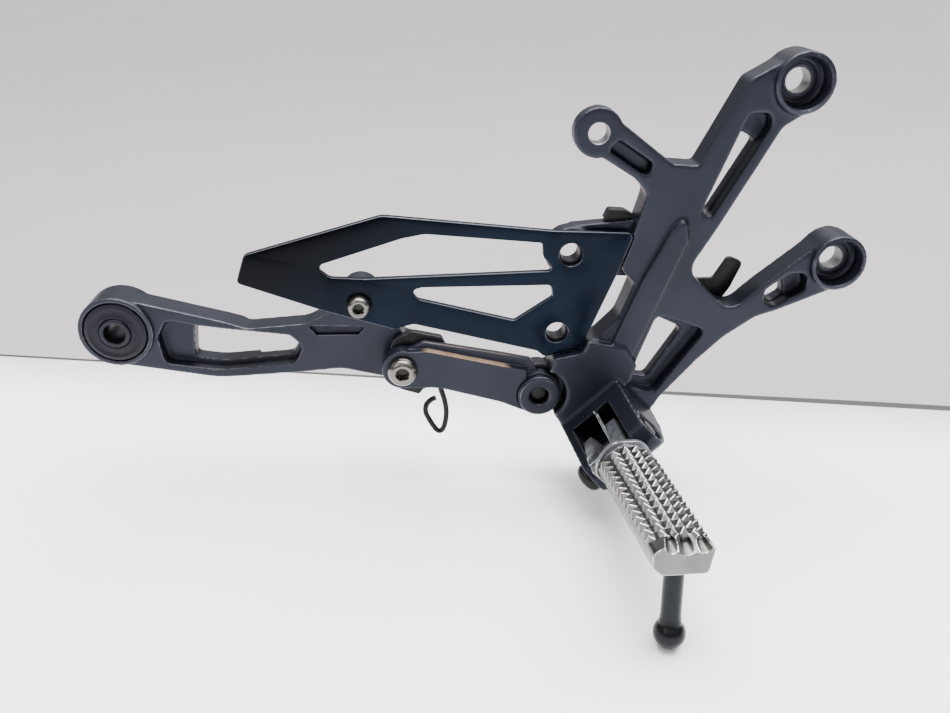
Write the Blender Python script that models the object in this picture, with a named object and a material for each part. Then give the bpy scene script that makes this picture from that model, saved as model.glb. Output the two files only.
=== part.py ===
"""Rider foot peg assembly: cast bracket, folding peg, heel guard and exhaust hanger."""
import math

import bmesh
import bpy
from mathutils import Matrix, Vector

for old in list(bpy.data.objects):
    bpy.data.objects.remove(old, do_unlink=True)

MM = 0.001
GAP = 0.3            # between pieces that only lie against each other
RUN = 0.08           # radial running clearance of the peg on its pin
ARC = math.radians(15)    # step of every rounded corner
ROUND = 36                 # sides of a turned or drilled shape
PIN_ROUND = 48             # the same on the peg pin and its holes

# depths along Y, all in millimetres; the mount face of the bracket is y = 0
BACK = -1.0          # back of the arms, the bosses stand 1 mm proud of it
FACE = -15.0         # front of the bracket arms
FOOT_FACE = FACE - 3.8     # front of the foot that carries the ears
BOSS_FACE = -18.0
GUARD_T = 3.0
GUARD_BACK = -12.0
GUARD_FACE = GUARD_BACK - GUARD_T
ARM_FACE = -6.0      # exhaust hanger
ARM_BACK = 6.0
PLATE_T = 4.0        # guide plate between hanger and link
LINK_FACE = -18.0
LINK_BACK = LINK_FACE + 7.4
PEDESTAL = GUARD_BACK + GAP

UPPER_HOLE = (0.0, 0.0)
LOWER_HOLE = (29.2, -79.1)
LUG_HOLE = (-84.2, -19.6)
GUARD_HOLE_A = (-93.2, -72.8)
GUARD_HOLE_B = (-98.1, -110.7)
HUB = (-105.8, -141.6)
LINK_EYE = (-169.9, -126.3)
GUARD_EYE = (-188.3, -94.6)
BUSH = (-299.7, -107.8)
STAY_EYE = (-31.5, -103.5)

M10_CLEAR = 5.25
M8_SHANK = 3.9
M8_CLEAR = 4.4
M6_SHANK = 2.9
M6_CLEAR = 3.3
BOSS_R = 12.8
COUNTERBORE_R = 10.4
COUNTERBORE_DEPTH = 9.0

# peg pivot: the pin runs along A, B points down and forward
A = Vector((math.sqrt(0.5), 0, math.sqrt(0.5)))
B = Vector((math.sqrt(0.5), 0, -math.sqrt(0.5)))
Y = Vector((0, 1, 0))
PIN_B, PIN_Y, PIN_R = 61.5, -44.0, 4.0
EAR_LEFT = (-179.5, -174.9)
EAR_RIGHT = (-152.6, -144.0)
STOP_Y = -28.0             # face of the bracket that the lugs rest on
LUG_TOP = 51.7             # upper end of the lugs, along B
LUG_LEFT = (-174.3, -169.2)
LUG_RIGHT = (-160.2, -154.9)
WEB_B, WEB_Y = 47.6, -25.4  # lower front edge of the web between the ears
PIN_SEAT = -148.6          # floor of the recess that hides the pin's washer and clip

# peg frame: S along the peg, W across it, U up through the tread
PEG_ROOT = Vector((-71.6, -57.5, -154.2))
PEG_S = Vector((0.030, -0.9917, 0.122)).normalized()
PEG_W = (Vector((1, 0, 0)) - PEG_S * PEG_S.x).normalized()
PEG_U = PEG_S.cross(PEG_W)
PEG_L = 79.0
FLANGE_T = 2.6


# ---------------------------------------------------------------- helpers
def fillet(points):
    """Closed outline from (x, z) or (x, z, radius) corners."""
    out = []
    count = len(points)
    for i, corner in enumerate(points):
        radius = corner[2] if len(corner) > 2 else 0
        p = Vector(corner[:2])
        if not radius:
            out.append(p)
            continue
        before = (Vector(points[i - 1][:2]) - p)
        after = (Vector(points[(i + 1) % count][:2]) - p)
        half = before.angle(after) / 2
        reach = min(radius / math.tan(half), 0.48 * before.length, 0.48 * after.length)
        radius = reach * math.tan(half)
        before.normalize()
        after.normalize()
        centre = p + (before + after).normalized() * (radius / math.sin(half))
        start = p + before * reach - centre
        turn = math.pi - 2 * half
        if before.x * after.y - before.y * after.x > 0:
            turn = -turn
        steps = max(1, math.ceil(abs(turn) / ARC))
        for k in range(steps + 1):
            angle = turn * k / steps
            c, s = math.cos(angle), math.sin(angle)
            out.append(centre + Vector((c * start.x - s * start.y, s * start.x + c * start.y)))
    return out


def grow(outline, gap):
    """Outline moved outwards by gap."""
    count = len(outline)
    area = sum(outline[i - 1].x * outline[i].y - outline[i].x * outline[i - 1].y for i in range(count))
    side = 1 if area > 0 else -1
    out = []
    for i, p in enumerate(outline):
        along = (outline[(i + 1) % count] - outline[i - 1]).normalized()
        out.append(p + Vector((along.y, -along.x)) * (gap * side))
    return out


def circle(centre, radius, count=ROUND):
    steps = [2 * math.pi * (k + 0.5) / count for k in range(count)]
    return [Vector((centre[0] + radius * math.cos(t), centre[1] + radius * math.sin(t))) for t in steps]


def make(name, verts, faces, smooth=False):
    """Object from millimetre vertices, normals facing out."""
    mesh = bpy.data.meshes.new(name)
    mesh.from_pydata([Vector(v) * MM for v in verts], [], faces)
    bm = bmesh.new()
    bm.from_mesh(mesh)
    bmesh.ops.recalc_face_normals(bm, faces=bm.faces)
    bm.to_mesh(mesh)
    bm.free()
    obj = bpy.data.objects.new(name, mesh)
    bpy.context.collection.objects.link(obj)
    for poly in mesh.polygons:
        poly.use_smooth = smooth
    return obj


def extrude(name, outline, low, high, place):
    """Closed prism: place(u, v, depth) turns outline and depth into a point."""
    count = len(outline)
    verts = [place(p[0], p[1], low) for p in outline] + [place(p[0], p[1], high) for p in outline]
    faces = [tuple(range(count))[::-1], tuple(range(count, 2 * count))]
    faces += [(i, (i + 1) % count, count + (i + 1) % count, count + i) for i in range(count)]
    return make(name, verts, faces)


def prism(outline, low, high, name="tool"):
    """Outline in XZ, from y = low to y = high."""
    return extrude(name, outline, low, high, lambda x, z, y: (x, y, z))


def side_prism(outline, low, high, name="tool"):
    """Outline in (B, Y), from a = low to a = high along the pin."""
    return extrude(name, outline, low, high, lambda b, y, a: A * a + B * b + Y * y)


def disc(centre, radius, low, high, count=ROUND):
    return prism(circle(centre, radius, count), low, high)


def pin_disc(radius, low, high, count=PIN_ROUND):
    return side_prism(circle((PIN_B, PIN_Y), radius, count), low, high)


def turned(name, centre, profile, count=ROUND):
    """Solid or ring turned about an axis along Y; profile is (radius, y)."""
    def place(radius, y, angle):
        return (centre[0] + radius * math.cos(angle), y, centre[1] + radius * math.sin(angle))
    return lathe(name, profile, place, count)


def pin_turned(name, profile, count=PIN_ROUND):
    """Turned about the pin; profile is (radius, a)."""
    def place(radius, a, angle):
        middle = A * a + B * PIN_B + Y * PIN_Y
        return middle + B * (radius * math.cos(angle)) + Y * (radius * math.sin(angle))
    return lathe(name, profile, place, count)


def lathe(name, profile, place, count):
    rings = []
    verts = []
    for radius, along in profile:
        if radius == 0:
            rings.append([len(verts)] * count)
            verts.append(place(0, along, 0))
            continue
        rings.append(list(range(len(verts), len(verts) + count)))
        verts += [place(radius, along, 2 * math.pi * (k + 0.5) / count) for k in range(count)]
    open_ends = profile[0][0] == 0 and profile[-1][0] == 0
    pairs = list(zip(rings, rings[1:]))
    if not open_ends:
        pairs.append((rings[-1], rings[0]))
    faces = []
    for low, high in pairs:
        for k in range(count):
            n = (k + 1) % count
            corners = [low[k], low[n], high[n], high[k]]
            face = list(dict.fromkeys(corners))
            if len(face) > 2:
                faces.append(face)
    return make(name, verts, faces)


def wire(name, path, radius, count=10):
    """Round bar swept along a path of points."""
    points = [Vector(p) for p in path]
    verts = []
    normal = None
    for i, p in enumerate(points):
        ahead = points[min(i + 1, len(points) - 1)] - points[max(i - 1, 0)]
        ahead.normalize()
        if normal is None:
            normal = ahead.orthogonal().normalized()
        normal = (normal - ahead * normal.dot(ahead)).normalized()
        side = ahead.cross(normal)
        for k in range(count):
            angle = 2 * math.pi * k / count
            verts.append(p + normal * (radius * math.cos(angle)) + side * (radius * math.sin(angle)))
    faces = [tuple(range(count))[::-1]]
    for i in range(len(points) - 1):
        low, high = i * count, (i + 1) * count
        for k in range(count):
            n = (k + 1) % count
            faces.append((low + k, low + n, high + n, high + k))
    last = (len(points) - 1) * count
    faces.append(tuple(range(last, last + count)))
    return make(name, verts, faces, smooth=True)


def combine(name, parts, cuts=()):
    """One solid: the first part joined with the others, less the cuts."""
    base = parts[0]
    base.name = name
    for mode, tools in (("UNION", parts[1:]), ("DIFFERENCE", cuts)):
        for tool in tools:
            step = base.modifiers.new(mode, "BOOLEAN")
            step.operation = mode
            step.solver = "EXACT"
            step.object = tool
    graph = bpy.context.evaluated_depsgraph_get()
    graph.update()
    mesh = bpy.data.meshes.new_from_object(base.evaluated_get(graph))
    base.modifiers.clear()
    base.data = mesh
    mesh.name = name
    for tool in list(parts[1:]) + list(cuts):
        bpy.data.objects.remove(tool, do_unlink=True)
    bm = bmesh.new()
    bm.from_mesh(mesh)
    bmesh.ops.remove_doubles(bm, verts=bm.verts, dist=0.000002)
    bmesh.ops.dissolve_degenerate(bm, edges=bm.edges, dist=0.000001)
    bmesh.ops.triangulate(bm, faces=bm.faces)
    bm.to_mesh(mesh)
    bm.free()
    return base


def paint(obj, colour, metallic, roughness, smooth_angle=35):
    material = bpy.data.materials.new(obj.name + "_finish")
    material.use_nodes = True
    shader = material.node_tree.nodes["Principled BSDF"]
    shader.inputs["Base Color"].default_value = (*colour, 1)
    shader.inputs["Metallic"].default_value = metallic
    shader.inputs["Roughness"].default_value = roughness
    obj.data.materials.clear()
    obj.data.materials.append(material)
    for poly in obj.data.polygons:
        poly.use_smooth = True
    edges = bmesh.new()
    edges.from_mesh(obj.data)
    for edge in edges.edges:
        sharp = len(edge.link_faces) == 2 and edge.calc_face_angle() > math.radians(smooth_angle)
        edge.smooth = not sharp
    edges.to_mesh(obj.data)
    edges.free()
    return obj


GUNMETAL = (0.045, 0.052, 0.080)
BLACK = (0.012, 0.013, 0.016)
STEEL = (0.42, 0.41, 0.39)
ALLOY = (0.62, 0.61, 0.58)
ZINC = (0.60, 0.63, 0.66)


GUARD_CORNERS = [
    (-241.2, -82.4, 2), (-236.6, -69.6, 3), (-176.4, -53.2, 8), (-101.5, -61.6, 30), (-65.4, -63.3, 2.5),
    (-71.0, -80.0, 4), (-86.6, -119.6, 4), (-103.6, -122.9, 3), (-106.8, -119.8, 3), (-164.2, -104.3, 5),
    (-173.0, -106.7, 3), (-205.0, -96.4, 2)]


# ---------------------------------------------------------------- main bracket
def bracket():
    body = fillet([
        (-3.0, 12.2), (-22.3, 1.4, 4.5), (-40.0, -34.0, 1.5), (-58.0, -32.5), (-66.0, -38.0),
        (-61.2, -46.0, 5), (-66.0, -64.0, 3), (-70.5, -80.0, 2), (-63.5, -87.0, 2), (-69.5, -104.0, 8),
        (-79.0, -114.0, 6), (-93.0, -119.0, 2), (-96.0, -146.0), (-72.0, -145.0), (-56.0, -156.0),
        (-49.0, -152.0, 3), (-46.5, -147.0, 4), (-30.4, -127.4, 12), (-18.9, -115.5, 6), (-4.9, -105.6, 4),
        (4.5, -102.6, 4), (31.5, -91.6), (22.0, -68.7), (-5.0, -91.2, 5), (-17.5, -103.2, 8),
        (-39.4, -82.0, 8), (-28.5, -62.6, 6), (-5.6, -18.2, 6), (9.6, -8.6)])
    rib = fillet([(-43.3, -55.7, 2), (-49.8, -62.5, 2), (-60.2, -84.0), (-70.0, -110.3), (-77.0, -130.5),
                  (-68.0, -134.7, 2), (-64.2, -130.9, 2), (-41.2, -67.2)])
    foot = fillet([(-84.0, -114.0), (-99.0, -121.0, 4), (-104.5, -143.0, 3), (-100.4, -149.8, 3),
                   (-90.4, -163.6), (-64.4, -137.6), (-57.0, -132.0), (-66.0, -118.0)])
    lug_arm = fillet([(-78.5, -12.6), (-56.0, -29.6, 2), (-50.0, -34.0), (-54.0, -48.0), (-61.4, -45.4, 3),
                      (-67.1, -39.2), (-84.5, -28.4)])
    back_arm = fillet([(-93.0, -61.4), (-62.0, -59.0), (-62.0, -86.0), (-93.0, -84.0)])
    upper_pocket = fillet([(-20.6, -12.0, 3), (-11.4, -12.4, 3), (-10.8, -18.0, 3), (-31.4, -57.0, 2.5),
                           (-36.8, -55.4, 2.5), (-22.8, -17.5)])
    upper_slot = fillet([(-21.6, -20.5, 1.5), (-14.5, -24.5, 1.5), (-31.6, -56.3, 2.5), (-36.0, -54.8, 2.5)])
    lower_pocket = fillet([(-2.2, -92.2, 3), (8.0, -84.6, 3), (16.4, -83.8, 4), (17.0, -92.6, 3),
                           (3.4, -101.0, 3), (-1.8, -98.2, 3)])
    lower_slot = fillet([(-1.4, -92.3, 3), (7.0, -86.2, 1.5), (9.2, -96.4, 1.5), (3.3, -100.2, 3),
                         (-1.1, -97.6, 3)])
    window_pocket = fillet([(-51.4, -102.6, 4), (-27.6, -111.8, 3), (-49.6, -144.6, 4), (-64.0, -140.6, 4)])
    window = fillet([(-52.0, -105.8, 3), (-37.0, -113.0, 2.5), (-52.4, -138.8, 2), (-62.6, -136.4, 3)])
    lug_pocket = fillet([(-78.6, -25.6, 2), (-75.4, -22.4, 2), (-60.0, -32.6, 2), (-61.6, -37.8, 2),
                         (-64.8, -36.8, 1), (-78.6, -27.6, 1)])
    ear = fillet([(40, BACK), (45, -16), (50.5, -36, 10), (54, -48.5, 5), (60, -52.6, 5), (67.5, -52.4, 6),
                  (72, -45, 8), (76, -28, 4), (73, BACK)])
    stop = fillet([(50, BACK), (50, -14), (60, -14), (61.5, -31), (73.5, -31, 3), (73, BACK)])
    web = [Vector(p) for p in ((40, BACK), (45, -16), (WEB_B, WEB_Y), (WEB_B, BACK))]
    pin_recess = fillet([(56.6, -49.2, 3), (66.5, -50.2, 4), (69.2, -44.0, 4), (68.6, -37.6, 4),
                         (54.6, -37.6, 4), (54.2, -43.5, 3)])
    parts = [
        prism(body, FACE, BACK),
        prism(rib, FACE - 2.4, FACE + 4),
        prism(foot, FOOT_FACE, BACK),
        prism(lug_arm, FACE, -4),
        prism(back_arm, -9.4, BACK),
        disc(UPPER_HOLE, BOSS_R, BOSS_FACE, 0),
        disc(LOWER_HOLE, BOSS_R, BOSS_FACE, 0),
        disc(LUG_HOLE, 10.6, FACE, -7),
        disc(GUARD_HOLE_A, 11.4, PEDESTAL - 1, -3),
        disc(GUARD_HOLE_B, 10.0, PEDESTAL - 1, -3),
        disc(HUB, 12.4, LINK_FACE + 7, BACK),
        side_prism(ear, EAR_LEFT[0], EAR_LEFT[1] + 1),
        side_prism(ear, EAR_RIGHT[0] - 1, EAR_RIGHT[1]),
        side_prism(stop, EAR_LEFT[1] - 3, EAR_RIGHT[0] + 3),
        side_prism(web, EAR_LEFT[1] - 2, EAR_RIGHT[0] + 2)]
    # the open throat between the ears, and the recess that seats the hub of the link
    front = FOOT_FACE - GAP
    throat = fillet([(WEB_B, -60), (WEB_B, front), (52.3, front), (52.3, -12), (61, -12, 1), (63.5, STOP_Y, 1),
                     (90, STOP_Y), (90, -60)])
    link_seat = disc(HUB, 13.0, -30, LINK_BACK + GAP)
    guard_seat = prism(grow(fillet(GUARD_CORNERS), 2 * GAP), -30, PEDESTAL)
    cuts = [link_seat, guard_seat, side_prism(throat, EAR_LEFT[1], EAR_RIGHT[0])]
    for hole in (UPPER_HOLE, LOWER_HOLE):
        cuts.append(disc(hole, COUNTERBORE_R, -25, BOSS_FACE + COUNTERBORE_DEPTH))
        cuts.append(disc(hole, M10_CLEAR, -25, 5))
    cuts += [
        disc(LUG_HOLE, M8_CLEAR, -25, 5),
        disc(GUARD_HOLE_A, M8_CLEAR, -25, 5),
        disc(GUARD_HOLE_B, M8_CLEAR, -25, 5),
        disc(HUB, M8_CLEAR, -25, 5),
        disc(STAY_EYE, M6_SHANK, -8, 5),
        prism(upper_pocket, -25, -8),
        prism(upper_slot, -25, 5),
        prism(lower_pocket, -25, -8),
        prism(lower_slot, -25, 5),
        prism(window_pocket, -25, -8),
        prism(window, -25, 5),
        prism(lug_pocket, -25, -9),
        side_prism(pin_recess, PIN_SEAT, -130),
        pin_disc(PIN_R + RUN, -200, -130)]
    return paint(combine("main_bracket", parts, cuts), GUNMETAL, 0.35, 0.42)


# ---------------------------------------------------------------- heel guard
def heel_guard():
    upper = fillet([
        (-206.6, -75.6, 3), (-168.0, -63.6, 12), (-158.0, -61.8, 12), (-106.2, -67.0, 1.5),
        (-105.8, -73.4, 4), (-100.4, -80.2, 1.5), (-186.0, -82.0, 4), (-200.4, -81.0, 4)])
    lower = fillet([
        (-164.6, -88.0, 2.6), (-160.0, -86.6, 2), (-101.8, -86.9, 2), (-100.8, -92.6, 2),
        (-118.0, -104.0, 2), (-162.0, -92.2, 2.6)])
    cuts = [prism(upper, -25, -5), prism(lower, -25, -5)]
    cuts += [disc(GUARD_HOLE_A, 5.4, -25, -5), disc(GUARD_HOLE_B, 5.2, -25, -5)]
    cuts.append(disc(GUARD_EYE, M6_CLEAR, -25, -5))
    guard = combine("heel_guard", [prism(fillet(GUARD_CORNERS), GUARD_FACE, GUARD_BACK)], cuts)
    return paint(guard, (0.015, 0.022, 0.040), 0.55, 0.34)


# ---------------------------------------------------------------- exhaust hanger
BUSH_R = 14.5
BUSH_FRONT, BUSH_BACK = -8.0, 10.0


def hanger():
    arm = fillet([
        (-299.0, -91.2), (-252.0, -104.6, 6), (-241.0, -108.6, 10), (-214.0, -106.8, 10), (-200.0, -100.0, 8),
        (-176.5, -100.0, 6), (-168.0, -115.3), (-171.0, -137.4), (-199.0, -130.3, 20), (-218.5, -131.8, 8),
        (-256.3, -133.4, 30), (-303.2, -124.2)])
    pocket = fillet([
        (-282.0, -111.6, 4), (-277.0, -103.0, 4), (-264.0, -106.2), (-247.2, -108.9, 20), (-221.9, -112.4),
        (-216.0, -118.6, 5), (-220.4, -126.6, 4), (-255.7, -129.2, 20), (-280.4, -125.0, 4)])
    slot = fillet([
        (-266.0, -108.0, 2), (-247.2, -111.6, 20), (-222.6, -114.6, 3), (-218.6, -119.4, 3),
        (-222.4, -124.8, 3), (-255.7, -127.0, 20), (-268.0, -124.8, 2)])
    deep = fillet([
        (-299.0, -92.0), (-252.0, -105.4, 6), (-240.0, -109.2, 10), (-238.0, -131.6), (-256.3, -132.6, 30),
        (-303.0, -123.4)])
    parts = [
        prism(arm, ARM_FACE, ARM_BACK),
        prism(deep, ARM_FACE + 1, ARM_BACK + 2.6),
        disc(BUSH, 16.7, BUSH_FRONT, BUSH_BACK, PIN_ROUND),
        disc(LINK_EYE, 11.2, ARM_FACE, ARM_BACK),
        disc(GUARD_EYE, 9.0, ARM_FACE, ARM_BACK)]
    cuts = [
        disc(BUSH, BUSH_R, -20, 20, PIN_ROUND),
        disc(LINK_EYE, M8_CLEAR, -20, 20),
        disc(GUARD_EYE, M6_CLEAR, -20, 20),
        prism(pocket, -20, 0),
        prism(slot, -20, 20)]
    paint(combine("hanger_arm", parts, cuts), GUNMETAL, 0.35, 0.42)
    rubber = [(7.3, BUSH_FRONT - 0.6), (BUSH_R - 1.6, BUSH_FRONT - 0.6), (BUSH_R - GAP, BUSH_FRONT + 1),
              (BUSH_R - GAP, BUSH_BACK - 1), (BUSH_R - 1.6, BUSH_BACK + 0.6), (7.3, BUSH_BACK + 0.6)]
    paint(turned("bush_rubber", BUSH, rubber, PIN_ROUND), (0.018, 0.018, 0.028), 0, 0.6)
    sleeve = [(4.9, BUSH_FRONT - 1.4), (6.5, BUSH_FRONT - 1.4), (7.0, BUSH_FRONT - 0.9),
              (7.0, BUSH_BACK + 0.9), (6.5, BUSH_BACK + 1.4), (4.9, BUSH_BACK + 1.4)]
    paint(turned("bush_collar", BUSH, sleeve), (0.10, 0.10, 0.11), 0.8, 0.45)


# ---------------------------------------------------------------- link to the hanger
COLLAR_FACE = LINK_FACE - 2.0
PLATE_BACK = ARM_FACE - GAP
HUB_BORE = 6.0
WIRE_R = 1.4


def link():
    front = fillet([(-166.6, -117.4), (-158.0, -117.2, 8), (-112.0, -128.6), (-112.0, -150.4),
                    (-124.0, -144.9, 20), (-153.0, -136.2, 20), (-171.6, -135.7)])
    rear = fillet([(-167.0, -117.2), (-160.0, -113.8, 3), (-123.5, -121.3), (-110.0, -124.4), (-106.0, -131.0),
                   (-112.0, -150.4), (-124.0, -144.9, 20), (-153.0, -136.2, 20), (-171.6, -135.7)])
    parts = [
        prism(rear, LINK_FACE + 4.0, LINK_BACK),
        prism(front, LINK_FACE, LINK_FACE + 4.4),
        disc(LINK_EYE, 9.5, LINK_FACE, LINK_BACK),
        disc(HUB, 10.8, LINK_FACE + 2.0, LINK_BACK)]
    cuts = [
        disc(LINK_EYE, M8_CLEAR, -30, 0),
        disc(HUB, HUB_BORE + GAP, -30, 0),
        disc(HUB, 10.2 + GAP, -30, LINK_FACE + 2.0)]
    paint(combine("hanger_link", parts, cuts), GUNMETAL, 0.35, 0.42)
    flange_back = LINK_FACE + 2.0 - GAP
    collar = [(4.5, COLLAR_FACE + 0.8), (5.3, COLLAR_FACE), (9.2, COLLAR_FACE), (10.2, COLLAR_FACE + 1.0),
              (10.2, flange_back), (HUB_BORE, flange_back), (HUB_BORE, LINK_BACK - 0.2),
              (4.5, LINK_BACK - 0.2)]
    paint(turned("hub_collar", HUB, collar), GUNMETAL, 0.5, 0.36)


def guide():
    plate = fillet([(-174.0, -114.0, 4), (-165.0, -110.4, 3), (-151.4, -113.6, 2), (-146.6, -124.0, 3),
                    (-150.0, -138.0, 3), (-160.6, -140.6, 1), (-162.6, -143.4, 1.5), (-171.4, -140.4, 2),
                    (-178.0, -128.0, 6)])
    low = PLATE_BACK - PLATE_T
    cuts = [disc(LINK_EYE, M8_CLEAR, -30, 0)]
    paint(combine("guide_plate", [prism(plate, low, PLATE_BACK)], cuts), BLACK, 0.0, 0.5)
    # the hose hook runs down behind the guide plate
    y = PLATE_BACK + GAP + WIRE_R
    shape = [(-153.6, -127.0, 0), (-153.4, -134.0, 0), (-152.6, -142.0, 0), (-150.6, -149.2, 0),
             (-149.6, -157.0, 0), (-150.7, -164.6, 0), (-152.8, -168.0, 0.4), (-155.2, -166.6, 0.8),
             (-157.8, -162.2, 1.2), (-159.8, -157.6, 1.6), (-159.4, -153.6, 2.0), (-157.0, -151.0, 2.2),
             (-154.6, -149.8, 2.2)]
    path = [(x, y + lift, z) for x, z, lift in curve(shape, 3)]
    paint(wire("hose_hook", path, WIRE_R), BLACK, 0.1, 0.4)


def curve(points, parts):
    """Catmull-Rom through (x, z, lift) points."""
    out = []
    count = len(points)
    for i in range(count - 1):
        p0 = points[max(i - 1, 0)]
        p1, p2 = points[i], points[i + 1]
        p3 = points[min(i + 2, count - 1)]
        for k in range(parts):
            t = k / parts
            out.append(tuple(
                0.5 * (2 * b + (c - a) * t + (2 * a - 5 * b + 4 * c - d) * t * t
                       + (3 * b - a - 3 * c + d) * t ** 3)
                for a, b, c, d in zip(p0, p1, p2, p3)))
    out.append(points[-1])
    return out


# ---------------------------------------------------------------- fasteners
def button_screw(name, centre, seat, head_r, head_h, socket_r, shank_r, tip):
    """Dome head in front of y = seat, with a hexagon socket, shank back to y = tip."""
    dome = []
    for k in range(7):
        angle = math.radians(15 * k)
        dome.append((head_r * (0.62 + 0.38 * math.cos(angle)), seat - head_h * (0.2 + 0.8 * math.sin(angle))))
    depth = seat - head_h * 0.35
    profile = [(0, depth), (socket_r, depth), (socket_r, seat - head_h)]
    profile += dome[::-1]
    profile += [(head_r, seat - 0.05), (head_r - 0.4, seat), (shank_r, seat), (shank_r, tip - 0.6),
                (shank_r - 0.6, tip), (0, tip)]
    return paint(turned(name, centre, profile, 24), STEEL, 0.9, 0.33)


def hex_nut(name, centre, low, high, across, bore):
    """Hexagon nut about an axis along Y."""
    corner = across / math.sqrt(3)
    outline = [Vector((centre[0] + corner * math.cos(math.radians(60 * k + 15)),
                       centre[1] + corner * math.sin(math.radians(60 * k + 15)))) for k in range(6)]
    nut = combine(name, [prism(outline, low, high)], [disc(centre, bore, low - 5, high + 5, 24)])
    return paint(nut, ZINC, 0.9, 0.4)


def fasteners():
    nut_seat = ARM_BACK + GAP
    button_screw("link_screw", LINK_EYE, LINK_FACE - GAP, 7.0, 4.6, 2.9, M8_SHANK, nut_seat + 8.5)
    hex_nut("link_nut", LINK_EYE, nut_seat, nut_seat + 6.5, 13, M8_SHANK + GAP)
    button_screw("guard_screw", GUARD_EYE, GUARD_FACE - GAP, 5.4, 4.2, 2.4, M6_SHANK, ARM_BACK + 6.5)
    hex_nut("guard_nut", GUARD_EYE, ARM_BACK + GAP, ARM_BACK + GAP + 5, 10, M6_SHANK + GAP)
    spacer = [(M6_CLEAR, GUARD_BACK + GAP), (5.5, GUARD_BACK + GAP), (5.5, ARM_FACE - GAP),
              (M6_CLEAR, ARM_FACE - GAP)]
    paint(turned("guard_spacer", GUARD_EYE, spacer, 24), STEEL, 0.8, 0.45)
    # flange bolt from behind, through the bracket into the hub of the link
    bolt = [(0, -16.5), (M8_SHANK - 0.6, -16.5), (M8_SHANK, -15.9), (M8_SHANK, BACK + GAP),
            (8.2, BACK + GAP), (8.2, BACK + GAP + 1.4), (6.4, BACK + GAP + 1.8), (6.4, BACK + GAP + 6.2),
            (5.6, BACK + GAP + 7.0), (0, BACK + GAP + 7.0)]
    paint(turned("hub_bolt", HUB, bolt, 36), ZINC, 0.9, 0.4)
    # switch stay behind the lower arm and its screw
    stay_back = BACK + GAP + 2.0
    tab = fillet([(-39.5, -97.5, 3), (-30.5, -91.0, 2), (-22.5, -91.0, 2), (-16.4, -80.0, 2.5),
                  (-8.8, -83.4, 2.5), (-13.6, -96.0, 3), (-22.0, -110.0, 5), (-38.0, -109.5, 5)])
    stay = combine("switch_stay", [prism(tab, BACK + GAP, stay_back)], [disc(STAY_EYE, M6_CLEAR, -10, 10)])
    paint(stay, BLACK, 0.3, 0.45)
    screw = [(0, -6.5), (M6_SHANK - GAP, -6.5), (M6_SHANK - GAP, stay_back + GAP), (5.0, stay_back + GAP),
             (5.0, stay_back + 2.4), (3.6, stay_back + 3.8), (0, stay_back + 3.8)]
    paint(turned("stay_screw", STAY_EYE, screw, 24), ZINC, 0.9, 0.4)
    # rubber stop on top of the arm behind the guard
    stop = fillet([(-78.0, -59.5, 0.5), (-76.0, -54.6, 1.5), (-68.6, -55.2, 2), (-63.4, -58.4, 0.5)])
    paint(combine("stop_pad", [prism(stop, -7.4, -1.6)], []), BLACK, 0.0, 0.6)


# ---------------------------------------------------------------- peg pivot
def pivot():
    left, right = EAR_LEFT[0] - GAP, PIN_SEAT + GAP
    groove = right + 1.0 + GAP
    head = [(0, left - 5.0), (3.2, left - 5.0), (5.8, left - 3.9), (6.9, left - 2.0), (6.9, left)]
    tail = [(PIN_R, left), (PIN_R, groove), (PIN_R - 0.8, groove), (PIN_R - 0.8, groove + 1.5),
            (PIN_R, groove + 1.5), (PIN_R, groove + 2.2), (PIN_R - 0.5, groove + 2.7), (0, groove + 2.7)]
    paint(pin_turned("peg_pin", head + tail), (0.05, 0.045, 0.04), 0.6, 0.6)
    washer = [(PIN_R + GAP, right), (5.1, right), (5.1, right + 1.0), (PIN_R + GAP, right + 1.0)]
    paint(pin_turned("pin_washer", washer), ZINC, 0.9, 0.4)
    clip = []
    for radius, forward in ((4.9, True), (PIN_R - 0.5, False)):
        steps = [math.radians(40 + 280 * k / 28) for k in range(29)]
        ring = [Vector((PIN_B + radius * math.cos(t), PIN_Y + radius * math.sin(t))) for t in steps]
        clip += ring if forward else ring[::-1]
    ring = side_prism(clip, groove + GAP, groove + 1.5 - GAP, "pin_clip")
    paint(ring, ZINC, 0.9, 0.4)


COIL_R, COIL_WIRE, COIL_TURNS = 6.3, 0.9, 3


def spring():
    """Torsion spring round the pin between the two lugs of the peg."""
    start, pitch = LUG_RIGHT[0] - 1.3, 2.1
    path = []
    first = math.pi
    for k in range(int(COIL_TURNS * 20) + 1):
        angle = first + 2 * math.pi * k / 20
        a = start - pitch * k / 20
        path.append(A * a + B * (PIN_B + COIL_R * math.cos(angle)) + Y * (PIN_Y + COIL_R * math.sin(angle)))
    head = path[0]
    lay = WEB_Y - COIL_WIRE - GAP
    rest = A * (start + 0.6) + B * (WEB_B + 1.3) + Y * (lay - 0.6)
    tip = A * (start + 0.9) + B * (WEB_B - 1.4) + Y * (lay - 0.1)
    upper = [tip, rest, rest.lerp(head, 0.5)]
    tail = path[-1]
    lower = [tail - Y * 3.5, tail - Y * 7.6]
    paint(wire("peg_spring", upper + path + lower, COIL_WIRE, 8), ZINC, 0.95, 0.25)


# ---------------------------------------------------------------- folding peg
ROWS, TEETH = 5, 14
TOOTH = 2.4


def peg_point(s, w, u):
    return PEG_ROOT + PEG_S * s + PEG_W * w + PEG_U * u


def tread_u(w, t):
    """Height of the tread valleys; t runs from 0 at the root to 1 at the tip."""
    half = 12.6 - 1.2 * t
    crown = 7.4 - 1.8 * t
    edge = -2.4 + 4.4 * t
    ratio = min(1.0, abs(w) / half)
    return crown - (crown - edge) * ratio ** 2.2


def half_width(t):
    return 12.6 - 1.2 * t


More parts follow.
